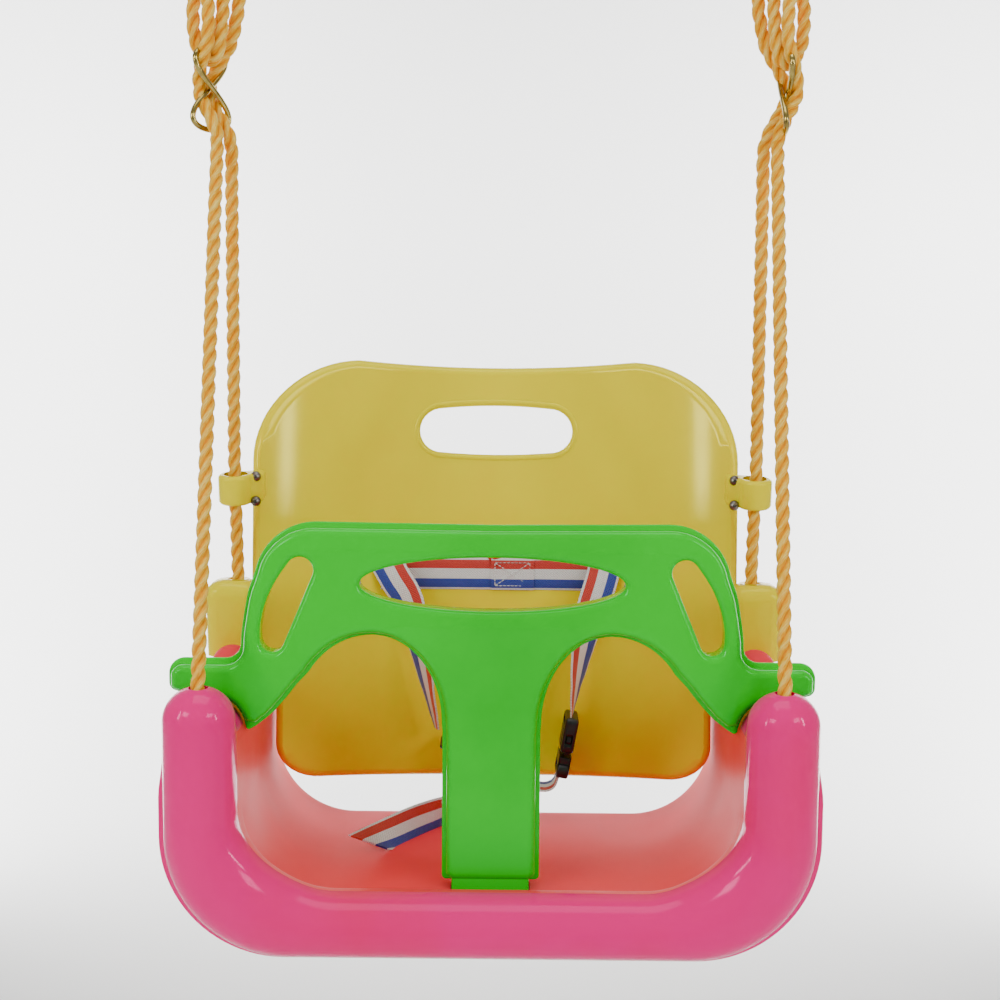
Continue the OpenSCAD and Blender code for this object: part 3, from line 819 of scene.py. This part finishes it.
def make_rail_stops(material):
    """A round stop on each side rail, in front of the backrest's shoulder, filleted into the rail."""
    stop_r = 0.015
    stops = []
    for side in SIDES.values():
        profile = [(0.0195, -0.0040), (0.0175, -0.0015), (0.0160, 0.0005), (0.0152, 0.0030)]
        profile += [(stop_r * cos(a), stop_r * sin(a)) for a in sweep(18, 90, 9)]
        stops.append(lathe("stop", profile, move(side * RAIL_X, SHIFT + 0.0225, up(RAIL_TOP)), material))
    carry(smooth(join("rail_stops", stops)), "swing", "pink_plastic")


def make_seat_underside(pink):
    """Stiffening ribs, flat feet and the socket for the guard's tongue."""
    pieces = []
    reach = 0.126
    for y in np.linspace(RIM_Y + 0.052, BACK_Y - 0.030, 4):
        high = (reach, y + 0.0028, up(FLOOR_Z - 0.002))
        pieces.append(block("rib", (-reach, y, up(0.001)), high, 0.0006, pink))
    for x in (-0.100, -0.060, -0.020, 0.020, 0.060, 0.100):
        low = (x - 0.0014, RIM_Y + (0.004 if abs(x) > TONGUE_HALF else 0.044), up(0.001))
        pieces.append(block("rib", low, (x + 0.0014, BACK_Y - 0.003, up(FLOOR_Z - 0.002)), 0.0006, pink))
    for y in (SHIFT - 0.060, SHIFT + 0.052):
        pieces.append(block("foot", (-0.122, y, BASE_Z), (0.122, y + 0.020, up(0.004)), 0.0012, pink))
    middle = GUARD_LOW.y + sum(TONGUE_BACK) / 2
    half_w, half_d = TONGUE_HALF + TONGUE_GAP, (TONGUE_BACK[1] - TONGUE_BACK[0]) / 2 + TONGUE_GAP
    walls = [rounded_box(half_w + 0.0030, -half_d - 0.0030, half_d + 0.0030, 0.0020),
             rounded_box(half_w, -half_d, half_d, 0.0008)]
    pieces.append(plate("socket", walls, 0.0165, 0.0006, move(0, middle, up(FLOOR_Z - 0.018)), pink))
    carry(smooth(join("seat_ribs", pieces)), "swing", "pink_plastic")


# ---- Backrest ----

BACK_CURVE = 0.290
BACK_BOTTOM = BACK_LOW.z - BASE_Z
BACK_TOP = BACK_HIGH.z - BASE_Z
BACK_HALF = 0.181
LOWER_HALF = 0.164
LEAN = tan(radians(6))
EDGE_ROLL = 0.006
BACK_LINE_Y = SHIFT + 0.098
HANDLE = (0.118, 0.038)
HANDLE_Z = BACK_TOP - 0.054
SHOULDER_TOP = 0.224


def back_face(x, z):
    """y of the backrest's front at x and a height above the seat's underside."""
    bow = sqrt(BACK_CURVE ** 2 - x * x) - BACK_CURVE
    return BACK_LINE_Y + (z - BACK_BOTTOM) * LEAN + bow / cos(radians(6))


def back_half(z):
    """Half width of the backrest at a height, before its rolled edge."""
    top_r, bottom_r = 0.070, 0.028
    half = LOWER_HALF + (BACK_HALF - LOWER_HALF) * smoothstep((z - 0.148) / 0.026)
    above = z - (BACK_TOP - top_r)
    below = BACK_BOTTOM + bottom_r - z
    if above > 0:
        half -= top_r - sqrt(max(0.0, top_r ** 2 - above ** 2))
    if below > 0:
        half -= bottom_r - sqrt(max(0.0, bottom_r ** 2 - below ** 2))
    return half


def back_heights():
    """Heights of the backrest's rows, close together at its rounded corners."""
    low, high = BACK_BOTTOM + 1e-5, BACK_TOP - 1e-5
    bottom = [low + 0.026 * (1 - cos(a)) for a in sweep(0, 90, 9)]
    top = [high - 0.070 * (1 - cos(a)) for a in sweep(90, 0, 17)]
    middle = list(np.linspace(bottom[-1], top[0], 46))[1:-1]
    return bottom + middle + top


def back_point(u, z):
    """A point of the face: u runs from -1 to 1 across it. The top and bottom edges dip in the middle."""
    half = back_half(z) - EDGE_ROLL
    x = u * half
    fit = (BACK_TOP - BACK_BOTTOM - 2 * EDGE_ROLL) / (BACK_TOP - BACK_BOTTOM)
    z = BACK_BOTTOM + EDGE_ROLL + (z - BACK_BOTTOM) * fit
    z -= 0.006 * (1 - u * u) * smoothstep((z - 0.300) / 0.080)
    z += 0.006 * u * u * (1 - smoothstep((z - BACK_BOTTOM) / 0.060))
    return Vector((x, back_face(x, z), up(z)))


def rolled_edge(mesh, border):
    """Turns a border back round a small radius and on into a short flange."""
    count = len(border)
    starts = [vert.co.copy() for vert in border]
    outward = []
    for i in range(count):
        along = starts[(i + 1) % count] - starts[i - 1]
        outward.append(Vector((along.z, 0, -along.x)).normalized())
    steps = [(sin(a), 1 - cos(a)) for a in np.radians((15, 30, 45, 60, 75, 90))] + [(1, 1.5), (1, 2.1)]
    previous = border
    for out, back in steps:
        row = []
        for start, normal in zip(starts, outward):
            row.append(mesh.verts.new(start + EDGE_ROLL * (out * normal + Vector((0, back, 0)))))
        for i in range(count):
            k = (i + 1) % count
            mesh.faces.new((previous[i], previous[k], row[k], row[i]))
        previous = row


def handle_outline(grow=0.0):
    """The handle hole: a long slot, gently crowned top and bottom."""
    half_w, half_h = HANDLE[0] / 2 + grow, HANDLE[1] / 2 + grow
    end_r = half_h - 0.002
    flat = half_w - end_r
    loop = []
    for way in (-1, 1):
        edge = [(x, 0.002 * (x / flat) ** 2 - half_h) for x in np.linspace(flat, -flat, 18)]
        loop += [(way * x, way * z) for x, z in edge]
        loop += arc((-way * flat, 0), end_r, 170 + 90 * way, 10 + 90 * way, 12)
    return loop


def shoulder_rows(side, low, high):
    """A hollow shoulder, drawn from its foot up over its rounded top and down into the rope hole."""
    centre_x = side * 0.1935
    half_w, half_d, corner = 0.0195, 0.017, 0.010
    top_y = rope_point(REAR_FOOT, rear_axis, up(high)).y
    lean = rear_axis.y / rear_axis.z
    round_r = 0.012
    rows = []

    def row(points, z):
        y = top_y + (z - high) * lean
        rows.append([Vector((centre_x + px, y + py, up(z))) for px, py in points])

    def ring(shrink):
        reach = half_d - shrink
        return rounded_box(half_w - shrink, -reach, reach, max(0.002, corner - shrink / 2), 11)

    for z in np.linspace(low, high - round_r, 7):
        row(ring(0), z)
    for a in np.radians((18, 36, 54, 72, 90)):
        row(ring(round_r * (1 - cos(a))), high - round_r + round_r * sin(a))
    for radius, drop in ((0.0085, 0.0), (0.0072, 0.0005), (0.0066, 0.002), (HOLE_R, 0.012)):
        row(arc((side * RAIL_X - centre_x, 0), radius, 0, 352.5, 47), high - drop)
    return rows


def make_backrest(yellow):
    mesh = bmesh.new()
    verts = [[mesh.verts.new(back_point(u, z)) for u in np.linspace(-1, 1, 49)] for z in back_heights()]
    for a, b in zip(verts, verts[1:]):
        for j in range(len(a) - 1):
            mesh.faces.new((a[j], a[j + 1], b[j + 1], b[j]))
    right = [row[-1] for row in verts[1:-1]]
    left = [row[0] for row in verts[-2:0:-1]]
    rolled_edge(mesh, verts[0] + right + verts[-1][::-1] + left)
    back = thicken(from_bmesh("backrest_shell", mesh, yellow), SKIN, facing=Vector((0, -1, 0)))
    through = upright(back_face(0, HANDLE_Z) - 0.04) @ move(0, HANDLE_Z, 0)
    pieces = [cut(back, [plate("hole", [handle_outline()], 0.08, 0.0002, through, yellow)])]
    lip = []
    for x, z in handle_outline(0.0028):
        lip.append(Vector((x, back_face(x, HANDLE_Z + z) + 0.0024, up(HANDLE_Z + z))))
    pieces.append(tube("lip", lip, 0.0030, yellow, 12, closed=True))
    for side in SIDES.values():
        rows = shoulder_rows(side, RAIL_TOP + 0.0015, SHOULDER_TOP)
        pieces.append(grid("shoulder", rows, yellow, loop_columns=True))
    rib = ((-0.0016, -0.001), (-0.0012, 0.009), (0.0012, 0.009), (0.0016, -0.001))
    for x in (-0.075, 0.0, 0.075):
        rows = []
        for z in np.linspace(BACK_BOTTOM + 0.012, HANDLE_Z - 0.040, 24):
            y = back_face(x, z) + SKIN
            rows.append([Vector((x + dx, y + dy, up(z))) for dx, dy in rib])
        pieces.append(grid("rib", rows, yellow))
    carry(join("backrest_body", pieces), "backrest", "yellow_plastic", "backrest")


# ---- Rope brackets and screws ----

BRACKET_Z = 0.292
BRACKET_HEIGHT = 0.022
SCREW_X = 0.175
SCREW_GAP = 0.009


def make_bracket(name, side, yellow):
    """A rounded band round the rear rope with an arm to the backrest's edge."""
    rope = rope_point(REAR_FOOT, rear_axis, up(BRACKET_Z))
    near, far = SCREW_X - 0.005, SCREW_X + 0.006
    gap = 0.0012
    band_r, hole_r = 0.011, 0.0066
    loop = arc((RAIL_X, rope.y), band_r, 60, -120, 16)
    loop += [(near, back_face(near, BRACKET_Z) - gap - 0.016), (near, back_face(near, BRACKET_Z) - gap)]
    loop += [(far, back_face(far, BRACKET_Z) - gap)]
    loop = [(side * x, y) for x, y in loop][::side]
    hole = arc((side * RAIL_X, rope.y), hole_r, 0, 345, 23)
    tilt = Matrix.Rotation(atan2(-rear_axis.y, rear_axis.z), 4, "X")
    place = move(0, rope.y, up(BRACKET_Z)) @ tilt @ move(0, -rope.y, -BRACKET_HEIGHT / 2)
    bracket = plate("rope_band_" + name, [loop, hole], BRACKET_HEIGHT, 0.0028, place, yellow)
    carry(bracket, "backrest", "yellow_plastic", "bracket_" + name)


def make_screws():
    dark = metal("dark_steel", (0.23, 0.21, 0.19), (0.06, 0.055, 0.05), (0.25, 0.45))
    profile = [(0, 0.0030), (0.0007, 0.0020), (0.0012, 0.0029), (0.0026, 0.0022), (0.0037, 0.0006),
               (0.0038, 0.0), (0.0020, 0.0), (0.0020, -0.0325), (0.0012, -0.0335), (0, -0.0335)]
    screws = []
    for side in SIDES.values():
        for z in (BRACKET_Z - SCREW_GAP, BRACKET_Z + SCREW_GAP):
            place = move(side * SCREW_X, back_face(SCREW_X, z) - 0.0195, up(z)) @ turn(90, "X")
            screws.append(lathe("screw", profile, place, dark, 24))
    carry(join("pan_screws", screws), "backrest", "dark_steel", "bracket_screws")


# ---- Guard ----

GUARD_TOP = GUARD_HIGH.z - BASE_Z
GUARD_DEPTH = GUARD_HIGH.y - GUARD_LOW.y
WING_X = GUARD_HIGH.x
WING_TOP = 0.191
POST_HALF = 0.033
FLANGE = 0.0032
LENS = (0.088, 0.018)
TONGUE_HALF = 0.026
TONGUE_BACK = (0.002, 0.016)                  # from the front of the guard
TONGUE_GAP = 0.0006


def arch(half, start, end):
    """Half of the arch over the room beside the post, between two angles."""
    angles = np.radians(np.arange(start, end + 1, 5))
    return [(0.080 + half * cos(a), 0.148 + 0.0595 * sin(a)) for a in angles]


def guard_outline():
    loop = [(x, GUARD_TOP - 0.0012 * (1 - x / 0.117)) for x in np.linspace(0, 0.1, 6)]
    loop += arc((0.117, GUARD_TOP - 0.042), 0.042, 90, 12, 16)
    loop += flowing([(0.1608, 0.2425), (0.1635, 0.234), (0.1667, 0.2155), (0.1679, 0.206)])
    loop += arc((0.178, WING_TOP + 0.010), 0.010, 190, 270, 8)
    loop += arc((WING_X - 0.011, WING_TOP - 0.011), 0.011, 90, 0, 12)
    loop += arc((WING_X - 0.006, 0.174), 0.006, -5, -85, 8)
    loop += arc((RAIL_X, RAIL_TOP - RAIL_R), RAIL_R + 0.0008, 70, 170, 12)
    loop += [(0.1651, 0.1432), (0.1640, 0.1420), (0.1624, 0.1422)]
    under = [(0.160, 0.1436), (0.1565, 0.146), (0.1475, 0.1535), (0.1385, 0.1635), (0.1295, 0.175)]
    loop += flowing(under)[:-1]
    loop += arch(0.052, 35, 90)
    loop += arch(0.0465, 95, 180)
    loop += [(POST_HALF, 0.142), (POST_HALF, 0.110), (POST_HALF, 0.075)]
    loop += arc((POST_HALF - 0.003, FLOOR_Z + 0.0065), 0.003, 0, -90, 6)
    return mirrored(loop)


def lens_outline():
    angles = sweep(0, 354, 60)
    return [(LENS[0] * cos(a), GUARD_TOP - 0.040 + LENS[1] * sin(a)) for a in angles]


def slot_outline(side):
    """The long opening beside an arm: straight on its inner side and bowed on its outer side."""
    loop = arc((0.1275, 0.252), 0.009, 195, 40, 10)
    bow = [(0.1344, 0.2578), (0.141, 0.2485), (0.147, 0.238), (0.1515, 0.226), (0.154, 0.213),
           (0.154, 0.2043)]
    loop += flowing(bow)[1:-1]
    loop += arc((0.146, 0.205), 0.008, -5, -160, 10)
    return [(side * x, z) for x, z in loop]


def make_guard(green):
    """A raised face with rounded edges on a skirt, with a flange round the outside."""
    front = GUARD_LOW.y
    pieces = []

    def layer(loops, thickness, bevel, deep, resolution=3):
        pieces.append(plate("layer", loops, thickness, bevel, upright(front + deep), green, resolution))

    def bar(x, half, near, far, low, high, bevel=0.0006):
        start, end = (x - half, front + near, low), (x + half, front + far, high)
        pieces.append(block("bar", start, end, bevel, green))

    outline = guard_outline()
    openings = [lens_outline(), slot_outline(-1), slot_outline(1)]
    face = inset(outline, FLANGE)
    layer([face] + openings, 0.0110, 0.0045, 0, 6)
    layer([inset(face, 0.0004), inset(face, 0.0030)], GUARD_DEPTH - 0.005, 0.0004, 0.0045)
    layer([outline, inset(outline, 0.0075)], 0.0030, 0.0012, 0.0118)
    for opening in openings:
        layer([inset(opening, -0.0030), inset(opening, -0.0004)], GUARD_DEPTH - 0.006, 0.0004, 0.0045)
    for z in (0.062, 0.090, 0.118, 0.146, 0.174):
        bar(0, POST_HALF - 0.006, 0.006, GUARD_DEPTH - 0.003, up(z), up(z + 0.0024))
    for x, low, high in ((0, 0.190, 0.224), (-0.1038, 0.218, 0.222), (0.1038, 0.218, 0.222)):
        bar(x, 0.0012, 0.006, GUARD_DEPTH - 0.004, up(low), up(high))
    bar(0, TONGUE_HALF, *TONGUE_BACK, GUARD_LOW.z, up(FLOOR_Z + 0.012), 0.0012)
    carry(join("guard_body", pieces), "guard", "green_plastic", "guard")


# ---- Harness ----

STRAP_W = 0.025
STRAP_T = 0.0016
STRAP_Z = 0.221
PEG_Z = 0.234


def ribbon(name, points, wides, material, start_skew=0.0, end_skew=0.0):
    """A flat strap through points, with the direction of its width at each. A skewed end is cut at
    a slant: its corners are that far ahead of and behind its middle."""
    line = smooth_through(points, 0.0025)
    spread = smooth_through(wides, 0.02)
    last = len(line) - 1
    travelled = distances(line)
    mesh = bmesh.new()
    uv = mesh.loops.layers.uv.new("UVMap")
    front = [(-1, 0), (-0.94, 0.8), (-0.5, 1), (0, 1), (0.5, 1), (0.94, 0.8)]
    section = front + [(-across, -thick) for across, thick in front]
    rows, places = [], []
    for i, point in enumerate(line):
        direction = (line[min(i + 1, last)] - line[max(i - 1, 0)]).normalized()
        wide = spread[round(i * (len(spread) - 1) / last)]
        wide = (wide - wide.dot(direction) * direction).normalized()
        normal = direction.cross(wide)
        skew = max(0.0, 1 - travelled[i] / 0.02) * start_skew
        skew += max(0.0, 1 - (travelled[-1] - travelled[i]) / 0.02) * end_skew
        rows.append([mesh.verts.new(
            point + wide * a * STRAP_W / 2 + normal * t * STRAP_T / 2 + direction * a * skew
        ) for a, t in section])
        places.append([((a + 1) / 2, travelled[i] + a * skew) for a, _ in section])
    for i in range(last):
        for k in range(len(section)):
            n = (k + 1) % len(section)
            corners = ((i, k), (i, n), (i + 1, n), (i + 1, k))
            face = mesh.faces.new([rows[r][c] for r, c in corners])
            for loop, (r, c) in zip(face.loops, corners):
                loop[uv].uv = places[r][c]
    for row, place in ((rows[0], places[0]), (rows[-1][::-1], places[-1][::-1])):
        for loop, corner in zip(mesh.faces.new(row).loops, place):
            loop[uv].uv = corner
    return from_bmesh(name, mesh, material, radians(50))


def stitches(corners, material):
    """A sewn box: short raised stitches along the lines between corners, which close on themselves."""
    pieces = []
    bow = Vector((0, -0.0003, 0))
    for a, b in zip(corners, corners[1:]):
        count = max(1, round((b - a).length / 0.0030))
        reach = (b - a).normalized() * 0.00095
        for i in range(count):
            middle = a.lerp(b, (i + 0.5) / count)
            line = [middle - reach, middle - reach * 0.4 + bow, middle + reach * 0.4 + bow, middle + reach]
            pieces.append(tube("stitch", line, 0.00032, material, 6))
    return join("stitches", pieces)


def make_waist_strap(webbing, thread):
    """The strap across the backrest: it sags a little and laps over itself in the middle."""
    def lie(x, lift=0.0):
        z = STRAP_Z - 0.0015 * cos(pi * x / 0.16)
        return Vector((x, back_face(x, z) - 0.0013 - lift, up(z)))

    downward = Vector((0, -0.05, -1))
    points = [lie(x) for x in np.linspace(-0.083, 0.083, 15)]
    belt = ribbon("belt", points, [downward] * 15, webbing, start_skew=-0.005, end_skew=0.005)
    overlap = [lie(x, 0.0017) for x in np.linspace(-0.003, 0.030, 5)]
    lap = ribbon("lap", overlap, [downward] * 5, webbing)
    front = lie(0.0135, 0.0027)
    corners = [(0.000, -0.009), (0.027, -0.009), (0.027, 0.009), (0.000, 0.009), (0.000, -0.009),
               (0.027, 0.009), (0.000, 0.009), (0.027, -0.009)]
    sewn = stitches([Vector((x, front.y - 0.0001, front.z + z)) for x, z in corners], thread)
    carry(join("waist_strap_sewn", [belt, lap, sewn]), "backrest", "webbing", "back_strap")


def make_hanging_straps(webbing):
    """Points are given from the seat's middle line, its own front-to-back zero and its underside.
    Each strap's width directions point to its blue edge."""
    for name, node, body, skews, points, wides in (
        ("left_strap", "strap_left", "backrest", {"start_skew": -0.006},
         [(-0.084, 0.0985, 0.231), (-0.076, 0.093, 0.218), (-0.066, 0.089, 0.202), (-0.058, 0.084, 0.172),
          (-0.050, 0.078, 0.136), (-0.043, 0.074, 0.106)],
         [(-0.85, -0.1, -0.5), (-0.81, 0, -0.59), (-0.8, 0.2, -0.5), (-0.45, 0.8, -0.2), (-0.3, 1, -0.05),
          (-0.2, 1, 0)]),
        ("right_strap", "strap_right", "backrest", {"start_skew": -0.006},
         [(0.085, 0.0985, 0.231), (0.081, 0.093, 0.216), (0.073, 0.087, 0.192), (0.067, 0.081, 0.165),
          (0.063, 0.076, 0.142), (0.0595, 0.074, 0.1165)],
         [(1, -0.3, -0.35), (0.8, 0.2, -0.3), (0.45, 0.8, -0.1), (0.25, 1, 0), (0.12, 1, 0), (0.1, 1, 0)]),
        ("loose_tail", "strap_tail", "backrest", {"end_skew": -0.010},
         [(-0.031, 0.068, 0.093), (-0.026, 0.068, 0.078), (-0.024, 0.065, 0.062), (-0.029, 0.061, 0.050),
          (-0.040, 0.052, 0.0465), (-0.056, 0.034, 0.0450), (-0.072, 0.013, 0.0435),
          (-0.088, -0.007, 0.0425)],
         [(0.2, 1, 0), (0.3, 0.8, -0.4), (0.4, 0.2, -0.8), (0.45, -0.2, -0.85), (0.5, -0.35, -0.78),
          (0.6, -0.45, -0.62), (0.65, -0.5, -0.52), (0.68, -0.52, -0.48)]),
        ("lower_strap", "strap_lower", None, {},
         [(0.050, 0.073, 0.0735), (0.046, 0.073, 0.0640), (0.036, 0.072, 0.0620), (0.020, 0.071, 0.070),
          (0.000, 0.071, 0.086), (-0.019, 0.071, 0.1015), (-0.026, 0.071, 0.1035)],
         [(0, 1, 0)] * 7),
    ):
        placed = [(x, y + SHIFT, up(z)) for x, y, z in points]
        strap = ribbon(name, placed, wides, webbing, **skews)
        carry(strap, body, "webbing", node)
    # the lower strap, made last, runs from the buckle's plug to the slide on the backrest's straps
    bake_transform(strap)


def edge_on(x, y, z, degrees, thickness):
    """Place of a plate turned edge-on to the front: its X is its width (y), its Y runs down it and
    its Z is its thickness (x)."""
    turned = Matrix(((0, 0, 1, -thickness / 2), (1, 0, 0, 0), (0, 1, 0, 0), (0, 0, 0, 1)))
    return move(x, y + SHIFT, up(z)) @ turn(degrees, "Y") @ turned


def make_buckle(black):
    """A side-release buckle."""
    flat = edge_on(0.060, 0.074, 0.118, 190, 0.010)
    length, half = 0.027, 0.0165
    strap_half = STRAP_W / 2 + 0.0008

    def layer(loops, thickness, bevel, deep=0.0, resolution=3):
        return plate("layer", loops, thickness, bevel, flat @ move(0, 0, deep), black, resolution)

    body = layer([rounded_box(half, 0.0, length, 0.004)], 0.010, 0.0022, 0.0, 4)
    cutters = [layer([rounded_box(strap_half, 0.0028, 0.0066, 0.0014)], 0.02, 0.0002, -0.005)]
    prongs = []
    for side in (-1, 1):
        window = [(half - 0.001, 0.012), (half + 0.004, 0.011), (half + 0.004, 0.022), (half - 0.001, 0.0215),
                  (half - 0.0035, 0.0168)]
        cutters.append(layer([[(side * x, z) for x, z in window]], 0.0052, 0.0003, 0.0024))
        prong = [(0.0085, length + 0.002), (0.0130, length + 0.002), (0.0138, 0.0215), (0.0158, 0.0180),
                 (0.0150, 0.0135), (0.0118, 0.0128), (0.0100, 0.0160), (0.0098, 0.0220)]
        prongs.append(layer([[(side * x, z) for x, z in prong]], 0.0046, 0.0009, 0.0027))
    raised = layer([rounded_box(0.0095, 0.0095, 0.0235, 0.003)], 0.0108, 0.0004, -0.0004)
    socket = smooth(join("buckle_body", [cut(body, cutters), raised]))
    carry(socket, "backrest", "black_plastic", "buckle_socket")

    frame_loops = [rounded_box(half, length + 0.0006, length + 0.020, 0.004),
                   rounded_box(strap_half, length + 0.0125, length + 0.0165, 0.0014)]
    base = layer(frame_loops, 0.0092, 0.0018, 0.0004, 4)
    guide = layer([rounded_box(0.0016, 0.0135, length + 0.002, 0.0012)], 0.0046, 0.0006, 0.0027)
    plug = smooth(join("buckle_tongue", [base] + prongs + [guide]))
    carry(plug, "buckle", "black_plastic", "buckle_plug")


def make_glide(black):
    """The ladder slide beside the post."""
    loops = [rounded_box(0.016, -0.009, 0.009, 0.0035)]
    for low in (-0.0062, 0.0018):
        loops.append(rounded_box(STRAP_W / 2 + 0.0006, low, low + 0.0044, 0.0014))
    place = edge_on(-0.032, 0.071, 0.100, 60, 0.0032)
    glide = plate("ladder_slide", loops, 0.0034, 0.0012, place, black, 4)
    carry(glide, "backrest", "black_plastic", "tri_glide")


def make_peg():
    """The push rivet above the waist strap."""
    red = moulded_plastic("red_plastic", (0.66, 0.02, 0.012), (0.48, 0.012, 0.01), (1, 0.5, 0.5), (0.2, 0.35))
    y = BACK_LINE_Y + (PEG_Z - BACK_BOTTOM) * LEAN
    place = move(0, y - 0.001, up(PEG_Z)) @ turn(90, "X")
    profile = [(0, 0.0040), (0.0022, 0.0039), (0.0048, 0.0031), (0.0066, 0.0014), (0.0070, 0.0004),
               (0.0068, 0.0), (0.0030, 0.0), (0.0029, -0.0100), (0.0020, -0.0115), (0, -0.0120)]
    peg = lathe("push_rivet", profile, place, red)
    carry(peg, "backrest", "red_plastic", "strap_peg")


def dress_frame_nodes():
    """CAD nodes that stay: rings, nuts and washer."""
    zinc = metal("zinc_plate", (0.68, 0.68, 0.70), (0.40, 0.40, 0.42), (0.18, 0.38), (1, 1, 4))
    for name in ("ring_left", "ring_right", "bracket_nuts", "peg_washer"):
        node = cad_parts[name]
        for material_slot in node.material_slots:
            material_slot.material = zinc


make_camera()
make_ropes()
make_world()
make_lights()
make_stage()
pink = moulded_plastic("pink_plastic", (0.95, 0.006, 0.22), (0.92, 0.006, 0.15), (1, 0.30, 0.50))
# The bowl's inside: the same pink plastic with its colour shifted toward salmon as painted warm bounce light
# from the yellow backrest, and with rougher, weaker reflections.
inside = moulded_plastic(
    "pink_inside_painted_bounce", (0.95, 0.055, 0.075), (0.92, 0.035, 0.05), (1, 0.12, 0.15), (0.30, 0.45), 0.03, 0.02
)
yellow = moulded_plastic("yellow_plastic", (0.90, 0.76, 0.0), (0.88, 0.66, 0.0), (1, 0.92, 0.25))
green = moulded_plastic("green_plastic", (0.0, 0.66, 0.012), (0.0, 0.55, 0.008), (0.30, 1, 0.40))
black = fine_black()
webbing = webbing_weave()
make_seat(pink, inside)
make_backrest(yellow)
for side_name, side_sign in SIDES.items():
    make_bracket(side_name, side_sign, yellow)
make_screws()
make_guard(green)
make_waist_strap(webbing, sewing_thread())
make_hanging_straps(webbing)
make_buckle(black)
make_glide(black)
make_peg()
dress_frame_nodes()
